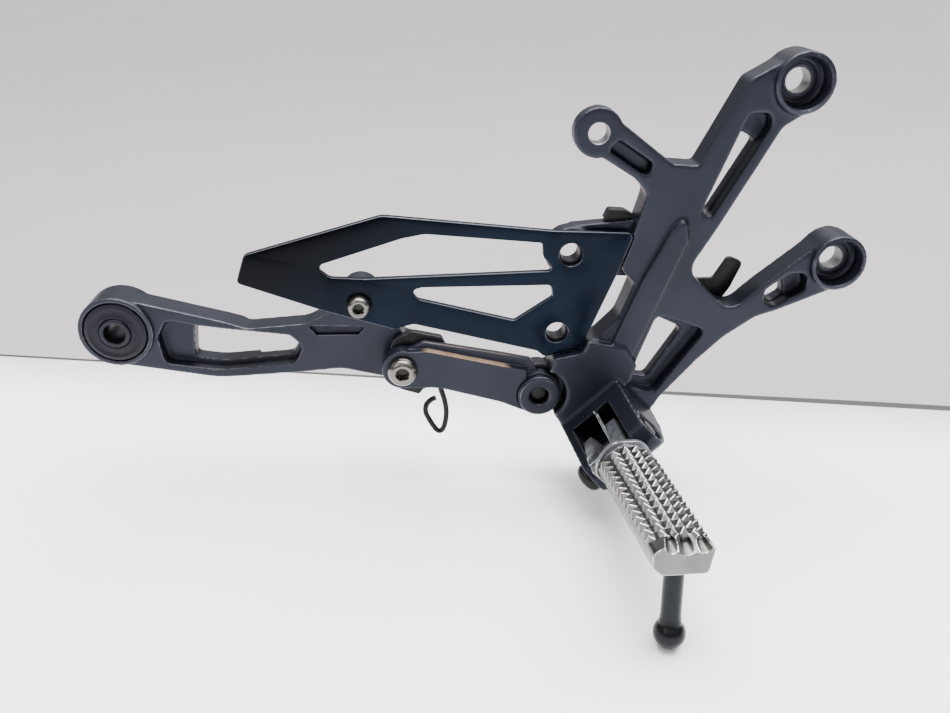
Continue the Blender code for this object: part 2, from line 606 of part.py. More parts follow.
def underside(t):
    """Outline below the tread, from the right edge round to the left edge."""
    half = half_width(t)
    floor = -8.4 + 1.8 * t
    edge = tread_u(half, t)
    return [(half, edge), (half + 0.3, edge - 1.5), (half - 1.5, floor + 1.2), (half - 4.5, floor),
            (-half + 4.5, floor), (-half + 1.5, floor + 1.2), (-half - 0.3, edge - 1.5), (-half, edge)]


def tread_body():
    """Tapered bar with rows of pyramids on top, closed into one solid."""
    start, stop = -FLANGE_T - 1.0, PEG_L - 6.5
    cells = TEETH
    verts = []
    faces = []
    stations = [start] + [2.0 + (stop - 2.0) * k / cells for k in range(cells + 1)]
    grid = []
    for s in stations:
        t = s / PEG_L
        half = half_width(t)
        row = []
        for j in range(ROWS + 1):
            w = -half + 2 * half * j / ROWS
            row.append(len(verts))
            verts.append(peg_point(s, w, tread_u(w, t)))
        below = []
        for w, u in underside(t)[1:-1]:
            below.append(len(verts))
            verts.append(peg_point(s, w, u))
        grid.append((row, below))
    for i in range(len(stations) - 1):
        row, below = grid[i]
        nrow, nbelow = grid[i + 1]
        for j in range(ROWS):
            if i == 0:
                faces.append((row[j], row[j + 1], nrow[j + 1], nrow[j]))
                continue
            corners = [row[j], row[j + 1], nrow[j + 1], nrow[j]]
            middle = sum((verts[c] for c in corners), Vector()) / 4
            s_mid = (stations[i] + stations[i + 1]) / 2
            t = s_mid / PEG_L
            half = half_width(t)
            w = -half + 2 * half * (j + 0.5) / ROWS
            slope = (tread_u(w + 0.1, t) - tread_u(w - 0.1, t)) / 0.2
            rise = (PEG_U - PEG_W * slope).normalized()
            top = len(verts)
            verts.append(middle + rise * TOOTH)
            faces += [(corners[k], corners[(k + 1) % 4], top) for k in range(4)]
        ring, nring = [row[-1]] + below + [row[0]], [nrow[-1]] + nbelow + [nrow[0]]
        for k in range(len(ring) - 1):
            faces.append((ring[k], ring[k + 1], nring[k + 1], nring[k]))
    for row, below in (grid[0], grid[-1]):
        faces.append(tuple(row + below))
    return make("peg", verts, faces)


def across(outline, low, high):
    """Outline in (W, U), from s = low to s = high along the peg."""
    return extrude("tool", outline, low, high, lambda w, u, s: peg_point(s, w, u))


def peg():
    flange = fillet([(-13.4, -8.6, 3), (-13.6, -1.0, 6), (-7.6, 9.2, 8), (7.6, 9.2, 8), (13.6, -1.0, 6),
                     (13.4, -8.6, 3)])
    lip = fillet([(-7.6, -6.8, 2), (-11.4, -3.4, 2), (-11.6, 3.2, 1.5), (-5.0, 7.4, 4), (5.0, 7.4, 4),
                  (11.6, 3.6, 1.5), (9.6, -6.8, 2)])
    lug = fillet([(LUG_TOP, -58), (LUG_TOP, -33.5, 1), (57, -30.5, 1.5), (63, -30.5),
                  (64.5, STOP_Y - GAP, 0.5), (70.5, STOP_Y - GAP, 1.5), (71.5, -40, 3), (71.5, -58)])
    shoulder = fillet([(53.0, -59), (53.0, -54.6), (71.0, -54.0), (71.0, -59)])
    parts = [
        tread_body(),
        across(flange, -FLANGE_T, 0),
        across(lip, PEG_L - 7.0, PEG_L),
        side_prism(lug, *LUG_LEFT),
        side_prism(lug, *LUG_RIGHT),
        side_prism(shoulder, LUG_LEFT[0] + 3, LUG_RIGHT[1] - 0.5)]
    well = lathe("tool", [(0, 20.0), (4.05, 20.0), (4.05, -20.0), (0, -20.0)], feeler_place, ROUND)
    cuts = [pin_disc(PIN_R + RUN, -190, -140), well]
    paint(combine("peg", parts, cuts), ALLOY, 0.85, 0.34)
    feeler()
    plate = fillet([(LUG_TOP - 1.6, -54.0), (LUG_TOP - 1.6, -48.0), (LUG_TOP - GAP, -48.0),
                    (LUG_TOP - GAP, -54.0)])
    paint(side_prism(plate, LUG_LEFT[0] + 0.3, LUG_LEFT[1] + 2.2, "spring_plate"), ZINC, 0.9, 0.25)


FEELER_S, FEELER_W = PEG_L - 11.0, 0.6


def feeler_place(radius, u, angle):
    return peg_point(FEELER_S + radius * math.cos(angle), FEELER_W + radius * math.sin(angle), u)


def feeler():
    """Ball-ended bolt screwed up into the tip of the peg."""
    ball_u, ball_r, shank = -39.5, 6.3, 3.95
    top = 3.0
    profile = [(0, top), (shank - 0.5, top), (shank, top - 0.5)]
    join = math.asin(shank / ball_r)
    for k in range(13):
        angle = join + (math.radians(158) - join) * k / 12
        profile.append((ball_r * math.sin(angle), ball_u + ball_r * math.cos(angle)))
    profile.append((0, ball_u + ball_r * math.cos(math.radians(158))))
    paint(lathe("peg_feeler", profile, feeler_place, ROUND), (0.10, 0.10, 0.10), 0.85, 0.38)


bracket()
heel_guard()
hanger()
link()
guide()
fasteners()
pivot()
spring()
peg()
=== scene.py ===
"""Looks of the rider foot peg assembly: castings, plate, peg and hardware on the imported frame."""

import math

import bmesh
import bpy
import numpy as np
from bpy.props import FloatProperty, FloatVectorProperty, IntProperty, PointerProperty
from mathutils import Matrix, Vector


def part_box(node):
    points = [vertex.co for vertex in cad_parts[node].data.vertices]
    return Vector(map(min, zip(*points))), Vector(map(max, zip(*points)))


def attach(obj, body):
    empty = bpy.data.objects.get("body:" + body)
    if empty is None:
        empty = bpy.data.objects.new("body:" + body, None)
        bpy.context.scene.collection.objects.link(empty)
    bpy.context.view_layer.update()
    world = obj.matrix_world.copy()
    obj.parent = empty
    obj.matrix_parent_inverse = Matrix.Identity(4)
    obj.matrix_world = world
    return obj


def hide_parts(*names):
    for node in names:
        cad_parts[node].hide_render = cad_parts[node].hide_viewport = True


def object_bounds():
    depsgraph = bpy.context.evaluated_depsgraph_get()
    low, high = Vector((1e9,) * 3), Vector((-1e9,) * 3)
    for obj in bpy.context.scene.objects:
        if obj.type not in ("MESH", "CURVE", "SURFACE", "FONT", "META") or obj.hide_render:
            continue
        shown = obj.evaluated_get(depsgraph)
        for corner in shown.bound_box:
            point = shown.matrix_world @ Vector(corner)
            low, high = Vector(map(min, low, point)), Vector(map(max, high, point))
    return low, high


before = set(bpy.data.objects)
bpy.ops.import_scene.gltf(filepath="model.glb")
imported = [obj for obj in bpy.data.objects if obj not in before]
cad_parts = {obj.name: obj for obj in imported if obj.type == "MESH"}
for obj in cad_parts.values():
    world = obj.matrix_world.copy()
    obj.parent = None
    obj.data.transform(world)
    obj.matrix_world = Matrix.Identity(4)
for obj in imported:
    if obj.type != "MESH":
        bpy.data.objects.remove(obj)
CAD_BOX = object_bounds()
MM = 0.001
GAP = 0.3               # between pieces that only lie against each other, in millimetres

bl_info = {
    "name": "Foot Peg Assembly",
    "version": (1, 0, 0),
    "blender": (4, 5, 0),
    "location": "View3D > Sidebar > Foot Peg",
    "description": "Builds the detailed pieces of a rider foot peg assembly",
    "category": "Add Mesh",
}


def centre_of(node):
    """Middle of a CAD node as (x, z) in millimetres."""
    low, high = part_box(node)
    return ((low.x + high.x) / 2 / MM, (low.z + high.z) / 2 / MM)


# ---------------------------------------------------------------- places, in millimetres
UPPER_BOLT = (0.0, 0.0)
LOWER_BOLT = (29.2, -79.1)
LUG_HOLE = (-84.2, -19.6)
GUARD_HOLE_A = (-93.2, -72.8)
GUARD_HOLE_B = (-98.1, -110.7)
HUB = centre_of("hub_bolt")
LINK_EYE = centre_of("link_screw")
GUARD_EYE = centre_of("guard_screw")
BUSH = centre_of("bush_collar")
STAY_EYE = centre_of("stay_screw")
FACE = -15.0
FOOT_FACE = -18.8
BOSS_FACE = -18.0
COUNTERBORE_R, COUNTERBORE_DEPTH = 10.4, 9.0
BORE_R = 4.4            # clearance hole of an M8 screw
SMALL_BORE_R = 3.3      # clearance hole of the M6 screw
PAD_R = 5.0             # plug that closes a bore before it is drilled again
BOSS_PAD_R = 10.9       # the same for a frame boss
HUB_SEAT_R = 13.0       # flat in the bracket for the link's eye
LINK_FACE, LINK_BACK = -18.0, -10.6
LINK_SEAT = LINK_BACK + GAP
ARM_FACE, ARM_REAR = -6.0, 6.0
GUARD_BACK = -12.0
GUARD_SEAT_Y = GUARD_BACK + GAP
LUG_BACK, PAD_BACK = -7.0, -3.0

# peg pivot: A runs along the pin, B points down and forward
A = Vector((math.sqrt(0.5), 0, math.sqrt(0.5)))
B = Vector((math.sqrt(0.5), 0, -math.sqrt(0.5)))
Y = Vector((0, 1, 0))
PIN_B, PIN_Y, PIN_R = 61.5, -44.0, 4.0
EAR_LEFT = (-179.5, -174.9)
EAR_RIGHT = (-152.6, -144.0)
LUG_LEFT = (-174.3, -169.2)
LUG_RIGHT = (-160.2, -154.9)
BRACKET_PIN_R, PEG_PIN_R = PIN_R + 0.15, PIN_R + 0.08
PIN_SEAT = -148.6
WEB_B, WEB_Y = 47.6, -25.4
STOP_Y, LUG_TOP = -28.0, 51.7

# peg frame: S along the peg, W across it, U up through the tread
PEG_ROOT = Vector((-71.6, -57.5, -154.2))
PEG_S = Vector((0.030, -0.9917, 0.122)).normalized()
PEG_W = (Vector((1, 0, 0)) - PEG_S * PEG_S.x).normalized()
PEG_U = PEG_S.cross(PEG_W)
PEG_L = 79.0
LIP_L = 7.0
FEELER_S, FEELER_W = PEG_L - 11.0, 0.6
FEELER_R, FEELER_BORE_R = 3.95, 4.05

# camera
CAMERA_PLACE = (-0.15980, -0.372, 0.05619)
CAMERA_BACK = Vector((-0.05928, -0.89351, 0.44512)).normalized()
CAMERA_RIGHT = Vector((0.99781, -0.06620, 0)).normalized()
CAMERA_LENS = 32.48


# ---------------------------------------------------------------- mesh helpers
def rounded(points, arc=10):
    """Closed outline from (x, z) or (x, z, radius) corners, an arc step in degrees."""
    out = []
    count = len(points)
    for i, corner in enumerate(points):
        radius = corner[2] if len(corner) > 2 else 0
        p = Vector(corner[:2])
        if not radius:
            out.append(p)
            continue
        before = Vector(points[i - 1][:2]) - p
        after = Vector(points[(i + 1) % count][:2]) - p
        half = before.angle(after) / 2
        reach = min(radius / math.tan(half), 0.48 * before.length, 0.48 * after.length)
        radius = reach * math.tan(half)
        before.normalize()
        after.normalize()
        middle = p + (before + after).normalized() * (radius / math.sin(half))
        start = p + before * reach - middle
        turn = math.pi - 2 * half
        if before.x * after.y - before.y * after.x > 0:
            turn = -turn
        steps = max(1, math.ceil(abs(turn) / math.radians(arc)))
        for k in range(steps + 1):
            c, s = math.cos(turn * k / steps), math.sin(turn * k / steps)
            out.append(middle + Vector((c * start.x - s * start.y, s * start.x + c * start.y)))
    return out


def circle(centre, radius, count=64, phase=0.5):
    """Even points round a circle; phase is the share of a step at which they start."""
    turns = [math.tau * (k + phase) / count for k in range(count)]
    return [Vector((centre[0] + radius * math.cos(t), centre[1] + radius * math.sin(t))) for t in turns]


def linked(name, data):
    """New object in the scene that shows the data."""
    obj = bpy.data.objects.new(name, data)
    bpy.context.scene.collection.objects.link(obj)
    return obj


def written(name, bm):
    """New object from a bmesh, which is freed."""
    mesh = bpy.data.meshes.new(name)
    bm.to_mesh(mesh)
    bm.free()
    return linked(name, mesh)


def solid(name, verts, faces):
    """Object from millimetre vertices, its faces turned outwards."""
    mesh = bpy.data.meshes.new(name)
    mesh.from_pydata([Vector(v) * MM for v in verts], [], faces)
    bm = bmesh.new()
    bm.from_mesh(mesh)
    bmesh.ops.recalc_face_normals(bm, faces=bm.faces)
    bm.to_mesh(mesh)
    bm.free()
    return linked(name, mesh)


def loft(name, rings, closed=False):
    """Skin through rings of the same count, with flat ends unless closed on itself."""
    count = len(rings[0])
    verts = [p for ring in rings for p in ring]
    faces = [] if closed else [tuple(range(count))[::-1], tuple(range(len(verts) - count, len(verts)))]
    last = len(rings) if closed else len(rings) - 1
    for i in range(last):
        low, high = i * count, (i + 1) % len(rings) * count
        faces += [(low + k, low + (k + 1) % count, high + (k + 1) % count, high + k) for k in range(count)]
    return solid(name, verts, faces)


def slab(outline, low, high, name="tool"):
    """Outline in XZ from y = low to y = high."""
    return loft(name, [[Vector((p[0], y, p[1])) for p in outline] for y in (low, high)])


def pin_slab(outline, low, high, name="tool"):
    """Outline in (B, Y) from low to high along the pin."""
    return loft(name, [[A * a + B * p[0] + Y * p[1] for p in outline] for a in (low, high)])


def disc(centre, radius, low, high, count=64):
    """Cylinder along Y from y = low to y = high."""
    return slab(circle(centre, radius, count), low, high)


def about_y(centre):
    """Placing rule for shapes turned about an axis along Y."""
    return lambda r, y, t: Vector((centre[0] + r * math.cos(t), y, centre[1] + r * math.sin(t)))


def peg_point(s, w, u):
    """Point s along the peg, w across it and u above its axis."""
    return PEG_ROOT + PEG_S * s + PEG_W * w + PEG_U * u


def about_feeler(r, u, t):
    """Placing rule for shapes turned about the feeler bolt's axis."""
    return peg_point(FEELER_S + r * math.cos(t), FEELER_W + r * math.sin(t), u)


def turned(name, place, profile, count=64):
    """Solid or ring turned from (radius, height) points; a solid starts and ends at radius 0."""
    ends = profile[0][0] == 0
    ring = profile[1:-1] if ends else profile
    turns = [math.tau * (k + 0.5) / count for k in range(count)]
    rings = [[place(r, h, t) for t in turns] for r, h in ring]
    if not ends:
        return loft(name, rings, closed=True)
    verts = [p for row in rings for p in row]
    first, last = len(verts), len(verts) + 1
    verts += [place(0, profile[0][1], 0), place(0, profile[-1][1], 0)]
    faces = []
    for i in range(len(rings) - 1):
        low, high = i * count, (i + 1) * count
        faces += [(low + k, low + (k + 1) % count, high + (k + 1) % count, high + k) for k in range(count)]
    top = (len(rings) - 1) * count
    faces += [(first, (k + 1) % count, k) for k in range(count)]
    faces += [(last, top + k, top + (k + 1) % count) for k in range(count)]
    return solid(name, verts, faces)


def bar(name, path, radius, count=16):
    """Round bar along a path of points."""
    points = [Vector(p) for p in path]
    turns = [math.tau * k / count for k in range(count)]
    rings = []
    normal = None
    for i, p in enumerate(points):
        ahead = (points[min(i + 1, len(points) - 1)] - points[max(i - 1, 0)]).normalized()
        if normal is None:
            normal = ahead.orthogonal().normalized()
        normal = (normal - ahead * normal.dot(ahead)).normalized()
        side = ahead.cross(normal)
        rings.append([p + normal * (radius * math.cos(t)) + side * (radius * math.sin(t)) for t in turns])
    return loft(name, rings)


def smooth_path(points, parts):
    """Catmull-Rom curve through points of any dimension."""
    out = []
    for i in range(len(points) - 1):
        p0, p1 = points[max(i - 1, 0)], points[i]
        p2, p3 = points[i + 1], points[min(i + 2, len(points) - 1)]
        for k in range(parts):
            t = k / parts
            out.append(tuple(
                0.5 * (2 * b + (c - a) * t + (2 * a - 5 * b + 4 * c - d) * t * t
                       + (3 * b - a - 3 * c + d) * t ** 3)
                for a, b, c, d in zip(p0, p1, p2, p3)))
    out.append(tuple(points[-1]))
    return out


def drop(*objects):
    """Removes helper objects from the scene."""
    for obj in objects:
        bpy.data.objects.remove(obj, do_unlink=True)


def baked(obj):
    """Applies the modifiers of obj to its mesh."""
    graph = bpy.context.evaluated_depsgraph_get()
    graph.update()
    mesh = bpy.data.meshes.new_from_object(obj.evaluated_get(graph))
    obj.modifiers.clear()
    obj.data = mesh
    mesh.name = obj.name
    return obj


def from_node(name, node):
    """Welded copy of a CAD node."""
    bm = bmesh.new()
    bm.from_mesh(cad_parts[node].data)
    bmesh.ops.remove_doubles(bm, verts=bm.verts, dist=0.001 * MM)
    return written(name, bm)


def joined(name, parts):
    """One object that holds the shells of all parts."""
    bm = bmesh.new()
    for part in parts:
        bm.from_mesh(part.data)
    drop(*parts)
    return written(name, bm)


def cut(obj, tools):
    """Cuts each tool away, with the exact solver."""
    for tool in tools:
        step = obj.modifiers.new("cut", "BOOLEAN")
        step.operation = "DIFFERENCE"
        step.solver = "EXACT"
        step.object = tool
    baked(obj)
    drop(*tools)
    return obj


def cast(name, parts, cell, rounds):
    """Casting from overlapping closed shells: one skin of small cells, its corners rounded."""
    obj = joined(name, parts)
    skin = obj.modifiers.new("skin", "REMESH")
    skin.mode = "VOXEL"
    skin.voxel_size = cell * MM
    soft = obj.modifiers.new("soft", "SMOOTH")
    soft.factor = 0.5
    soft.iterations = rounds
    return baked(obj)


def machined(obj, width, segments=2, angle=34, flat=0.6):
    """Flat faces made whole and every sharp corner bevelled; the bevels carry the attribute edge."""
    bm = bmesh.new()
    bm.from_mesh(obj.data)
    bmesh.ops.remove_doubles(bm, verts=bm.verts, dist=0.002 * MM)
    bmesh.ops.dissolve_limit(bm, angle_limit=math.radians(flat), verts=bm.verts, edges=bm.edges,
                             delimit={"NORMAL"})
    layer = bm.faces.layers.float.new("edge")
    sharp = [e for e in bm.edges if len(e.link_faces) == 2 and e.calc_face_angle() > math.radians(angle)]
    made = bmesh.ops.bevel(bm, geom=sharp, offset=width * MM, segments=segments, profile=0.5,
                           affect="EDGES", clamp_overlap=False)
    bevels = {f for f in made["faces"] if f.is_valid}
    for face in bevels:
        middle = face.calc_center_median()
        around = [f for e in face.edges for f in e.link_faces if f not in bevels]
        side = sum((f.calc_center_median() - middle).dot(face.normal) for f in around)
        face[layer] = 0.6 if side <= 0 else -0.6
    bmesh.ops.triangulate(bm, faces=[f for f in bm.faces if len(f.verts) > 4])
    bm.to_mesh(obj.data)
    bm.free()
    return obj


def marked(obj, passes=2):
    """Writes the attribute edge: how convex the surface is, in 1/mm, negative in hollows."""
    mesh = obj.data
    count = len(mesh.vertices)
    co = np.empty(count * 3, np.float32)
    mesh.vertices.foreach_get("co", co)
    co = co.reshape(-1, 3).astype(np.float64) / MM
    normal = np.empty(count * 3, np.float32)
    mesh.vertices.foreach_get("normal", normal)
    normal = normal.reshape(-1, 3).astype(np.float64)
    pair = np.empty(len(mesh.edges) * 2, np.int32)
    mesh.edges.foreach_get("vertices", pair)
    first, second = pair.reshape(-1, 2).T
    step = co[first] - co[second]
    length = np.maximum((step ** 2).sum(1), 0.02)
    bend = np.zeros(count)
    links = np.zeros(count)
    np.add.at(bend, first, (normal[first] * step).sum(1) / length)
    np.add.at(bend, second, -(normal[second] * step).sum(1) / length)
    np.add.at(links, first, 1)
    np.add.at(links, second, 1)
    bend = np.clip(2 * bend / np.maximum(links, 1), -1.5, 1.5)
    for _ in range(passes):
        total = bend.copy()
        np.add.at(total, first, bend[second])
        np.add.at(total, second, bend[first])
        bend = total / (links + 1)
    layer = mesh.attributes.new("edge", "FLOAT", "POINT")
    layer.data.foreach_set("value", bend.astype(np.float32))
    return obj


def shown(obj, body, finish, nodes=(), angle=35):
    """Shades a piece, gives it its finish, and ties it to the frame."""
    obj.data.shade_smooth()
    obj.data.set_sharp_from_angle(angle=math.radians(angle))
    obj.data.materials.clear()
    obj.data.materials.append(finish)
    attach(obj, body)
    if nodes:
        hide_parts(*nodes)
    return obj


# ---------------------------------------------------------------- shader maths
class Value:
    """A shader socket that takes part in arithmetic; each operation adds its node."""

    def __init__(self, finish, socket):
        self.finish = finish
        self.socket = socket

    def math(self, operation, *terms, clamp=False):
        """Result of one Math node."""
        return self.finish.node("ShaderNodeMath", {"operation": operation, "use_clamp": clamp}, *terms)

    def __add__(self, other):
        return self.math("ADD", self, other)

    def __sub__(self, other):
        return self.math("SUBTRACT", self, other)

    def __rsub__(self, other):
        return self.math("SUBTRACT", other, self)

    def __mul__(self, other):
        return self.math("MULTIPLY", self, other)

    def __truediv__(self, other):
        return self.math("DIVIDE", self, other)

    def __neg__(self):
        return self.math("MULTIPLY", self, -1.0)

    __radd__ = __add__
    __rmul__ = __mul__

    def ramp(self, low, high):
        """0 at low, 1 at high, held between."""
        return self.math("MULTIPLY", self - low, 1 / (high - low), clamp=True)


class Finish:
    """One procedural material and the nodes that make it."""

    def __init__(self, name):
        self.material = bpy.data.materials.new(name)
        self.material.use_nodes = True
        self.tree = self.material.node_tree
        self.shader = self.tree.nodes["Principled BSDF"]
        self.place = self.node("ShaderNodeTexCoord", {"out": "Object"})

    def feed(self, socket, value):
        """Links a value to the socket, or sets it there when it is a constant."""
        if isinstance(value, Value):
            self.tree.links.new(value.socket, socket)
        elif isinstance(value, tuple) and len(value) == 3 and socket.type == "RGBA":
            socket.default_value = (*value, 1)
        else:
            socket.default_value = value

    def node(self, kind, settings, *inputs, **named):
        """Any other node: its settings first, then the values or links of its sockets."""
        made = self.tree.nodes.new(kind)
        out = 0
        for key, value in settings.items():
            if key == "out":
                out = value
            else:
                setattr(made, key, value)
        for socket, value in zip(made.inputs, inputs):
            self.feed(socket, value)
        for key, value in named.items():
            self.feed(made.inputs[key.replace("_", " ")], value)
        return Value(self, made.outputs[out])

    def mix(self, share, first, second):
        """Colour between first and second."""
        made = self.tree.nodes.new("ShaderNodeMix")
        made.data_type = "RGBA"
        for index, value in ((0, share), (6, first), (7, second)):
            self.feed(made.inputs[index], value)
        return Value(self, made.outputs[2])

    def axes(self, vector=None):
        """X, Y and Z of a vector, by itself of the object place."""
        made = self.tree.nodes.new("ShaderNodeSeparateXYZ")
        self.feed(made.inputs[0], vector or self.place)
        return [Value(self, out) for out in made.outputs]

    def stretched(self, scale):
        """Object place with each axis scaled."""
        return self.node("ShaderNodeMapping", {}, Vector=self.place, Scale=scale)

    def grain(self, scale, detail=2.0, rough=0.5, place=None):
        """Noise from 0 to 1 with cells of about 1/scale metres."""
        return self.node("ShaderNodeTexNoise", {}, Vector=place or self.place, Scale=scale,
                         Detail=detail, Roughness=rough)

    def cells(self, scale):
        """Distance to the nearest of scattered points."""
        return self.node("ShaderNodeTexVoronoi", {}, Vector=self.place, Scale=scale)

    def edge(self):
        """How convex the surface is, as marked on the mesh."""
        return self.node("ShaderNodeAttribute", {"attribute_name": "edge", "out": "Fac"})

    def bump(self, height, strength, distance):
        """Normal of a surface raised by height, distance in millimetres."""
        return self.node("ShaderNodeBump", {}, Strength=strength, Distance=distance * MM, Height=height)

    def set(self, **values):
        """Feeds inputs of the surface shader and returns the finished material."""
        for key, value in values.items():
            self.feed(self.shader.inputs[key.replace("_", " ")], value)
        return self.material

    def near(self, centre, radius):
        """1 within radius of an axis along Y, 0 outside, in millimetres."""
        x, _, z = self.axes()
        dx = x - centre[0] * MM
        dz = z - centre[1] * MM
        span = dx * dx + dz * dz
        return span.math("LESS_THAN", span, (radius * MM) ** 2)


# ---------------------------------------------------------------- finishes
def tone(colour, share):
    """The colour made darker or lighter."""
    return tuple(min(1.0, c * share) for c in colour)


def satin_coat():
    """Satin gunmetal coat over die-cast alloy, rubbed bright on the corners, with a painted highlight on its
    rounded edges and painted shade in its hollows.
    """
    sizes = bpy.context.scene.footpeg_casting
    f = Finish("satin_gunmetal")
    coat = tuple(sizes.coat)
    edge = f.edge()
    cloud = f.grain(28, 3)
    patch = f.grain(130, 4, 0.62)
    fine = f.grain(1500, 2)
    base = f.mix(cloud.ramp(0.35, 0.65), tone(coat, 0.82), tone(coat, 1.18))
    base = f.mix(patch.ramp(0.55, 0.8) * 0.35, base, tone(coat, 1.5))
    # painted highlight: rounded convex edges lightened towards a pale grey-blue
    edge_highlight = edge.ramp(0.10, 0.6) * 0.55
    base = f.mix(edge_highlight, base, (0.045, 0.047, 0.062))
    rub = (edge + (fine - 0.5) * 0.2 + (patch - 0.5) * 1.3).ramp(0.52, 0.80)
    base = f.mix(rub * 0.6, base, (0.13, 0.128, 0.13))
    # painted shade: hollows and inner corners darkened to near black, broken up by noise; the same mask
    # roughens them
    cavity_shade = (-edge).ramp(0.10, 0.55) * patch.ramp(0.3, 0.6)
    base = f.mix(cavity_shade * 0.6, base, (0.002, 0.002, 0.003))
    bare = f.near(UPPER_BOLT, 5.5) + f.near(LOWER_BOLT, 5.5) + f.near(LUG_HOLE, 4.7)
    base = f.mix(bare, base, (0.26, 0.255, 0.26))
    rough = 0.36 + (patch - 0.5) * 0.16 + cavity_shade * 0.25 - rub * 0.08
    return f.set(Base_Color=base, Metallic=0.6, Roughness=rough, Specular_IOR_Level=0.3,
                 Normal=f.bump(fine * 0.6 + patch * 0.4, 0.25, 0.06))


def plate_coat():
    """Smooth near-black navy coat of the heel guard, worn at its edges."""
    sizes = bpy.context.scene.footpeg_guard
    f = Finish("navy_plate")
    colour = tuple(sizes.colour)
    edge = f.edge()
    cloud = f.grain(16, 4, 0.6)
    fine = f.grain(1900, 2)
    haze = f.grain(1, 5, 0.65, f.stretched((60, 60, 190)))
    base = f.mix(cloud.ramp(0.35, 0.7), tone(colour, 0.75), tone(colour, 1.3))
    base = f.mix(haze.ramp(0.5, 0.8) * 0.3, base, tone(colour, 2.4))
    x, _, z = f.axes()
    # painted shade: the one coat darkened to near black and made glossier towards the plate's upper-left tip
    tip = (x - z * 1.3).ramp(-0.045, -0.125)
    base = f.mix(tip * 0.9, base, (0.0004, 0.0005, 0.0010))
    rub = (edge + (fine - 0.5) * 0.4 + (cloud - 0.5) * 0.6).ramp(0.3, 0.62)
    base = f.mix(rub * 0.8, base, (0.10, 0.105, 0.12))
    rough = 0.31 + (haze - 0.5) * 0.2 + rub * 0.05 - tip * 0.12
    return f.set(Base_Color=base, Metallic=0.55, Roughness=rough, Specular_IOR_Level=0.12,
                 Normal=f.bump(fine, 0.12, 0.03))


def black_coat():
    """Powder coat of the guide plate, hook and stay."""
    f = Finish("black_powder_coat")
    edge = f.edge()
    orange = f.cells(1100)
    dust = f.grain(160, 4, 0.6)
    base = f.mix(dust.ramp(0.4, 0.75) * 0.5, (0.003, 0.003, 0.004), (0.012, 0.012, 0.013))
    rub = (edge + (dust - 0.5) * 0.9).ramp(0.45, 0.8)
    base = f.mix(rub * 0.6, base, (0.07, 0.07, 0.08))
    return f.set(Base_Color=base, Metallic=0.15, Roughness=0.36 + dust * 0.16, Specular_IOR_Level=0.2,
                 Normal=f.bump(orange, 0.18, 0.05))


def rubber(name, colour):
    """Dull rubber, greyer on its corners."""
    f = Finish(name)
    edge = f.edge()
    cloud = f.grain(90, 4, 0.6)
    fine = f.grain(2400, 3)
    base = f.mix(cloud.ramp(0.35, 0.75) * 0.6, colour, tone(colour, 2.1))
    base = f.mix(edge.ramp(0.15, 0.6) * 0.3, base, (0.030, 0.030, 0.045))
    return f.set(Base_Color=base, Specular_IOR_Level=0.2, Roughness=0.46 + cloud * 0.22,
                 Normal=f.bump(fine, 0.2, 0.05))


def turned_steel(name, colour, metal=0.95, rough=0.28, darkening=0.5, socket=None):
    """Plated steel, darker in its recesses and with dark specks, both as strong as darkening; socket is the
    centre and radius of a recess painted dark as shade.
    """
    f = Finish(name)
    edge = f.edge()
    cloud = f.grain(210, 4, 0.6)
    fine = f.grain(2600, 2)
    base = f.mix(cloud.ramp(0.35, 0.7), tone(colour, 0.8), tone(colour, 1.12))
    # darker in recesses, broken up by noise
    dirt = (-edge + (cloud - 0.5) * 0.9).ramp(0.12, 0.75)
    base = f.mix(dirt * darkening, base, (0.008, 0.007, 0.006))
    speck = f.cells(700).ramp(0.34, 0.18) * cloud.ramp(0.5, 0.62)
    base = f.mix(speck * darkening * 0.7, base, (0.020, 0.016, 0.013))
    # painted shade: a near-black disc over the screw's socket stands in for the shade inside the recess
    if socket:
        base = f.mix(f.near(*socket) * 0.9, base, (0.005, 0.0045, 0.004))
    shine = rough + (cloud - 0.5) * 0.22 + dirt * 0.25
    return f.set(Base_Color=base, Metallic=metal, Roughness=shine,
                 Normal=f.bump(fine * 0.5 + cloud * 0.5, 0.18, 0.05))


def bare_alloy():
    """Forged and milled peg alloy: warm patina, painted shade in the grooves, bright crests."""
    sizes = bpy.context.scene.footpeg_peg
    f = Finish("bare_peg_alloy")
    colour = tuple(sizes.alloy)
    edge = f.edge()
    cloud = f.grain(60, 4, 0.6)
    patch = f.grain(260, 4, 0.6)
    fine = f.grain(2600, 2)
    base = f.mix(cloud.ramp(0.35, 0.68), tone(colour, 0.80), tone(colour, 1.05))
    base = f.mix(patch.ramp(0.55, 0.8) * 0.4, base, (0.20, 0.168, 0.132))
    # painted shade: grooves between the pyramids darkened to near black, broken up by noise; the same mask
    # roughens them
    groove_shade = (-edge + (patch - 0.5) * 0.5).ramp(0.05, 0.7)
    base = f.mix(groove_shade * 0.85, base, (0.012, 0.0115, 0.011))
    crest = (edge + (patch - 0.5) * 0.4).ramp(0.25, 0.8)
    base = f.mix(crest * 0.8, base, (0.45, 0.44, 0.425))
    root = (f.axes()[1] / MM).ramp(-58.5, -56.5)
    cast_grey = f.mix(patch.ramp(0.35, 0.7), (0.20, 0.21, 0.24), (0.34, 0.355, 0.39))
    base = f.mix(root, base, cast_grey)
    rough = 0.30 + groove_shade * 0.25 + (patch - 0.5) * 0.2 - crest * 0.08 + root * 0.15
    return f.set(Base_Color=base, Metallic=1.0, Roughness=rough,
                 Normal=f.bump(fine * 0.5 + patch * 0.5, 0.25, 0.06))


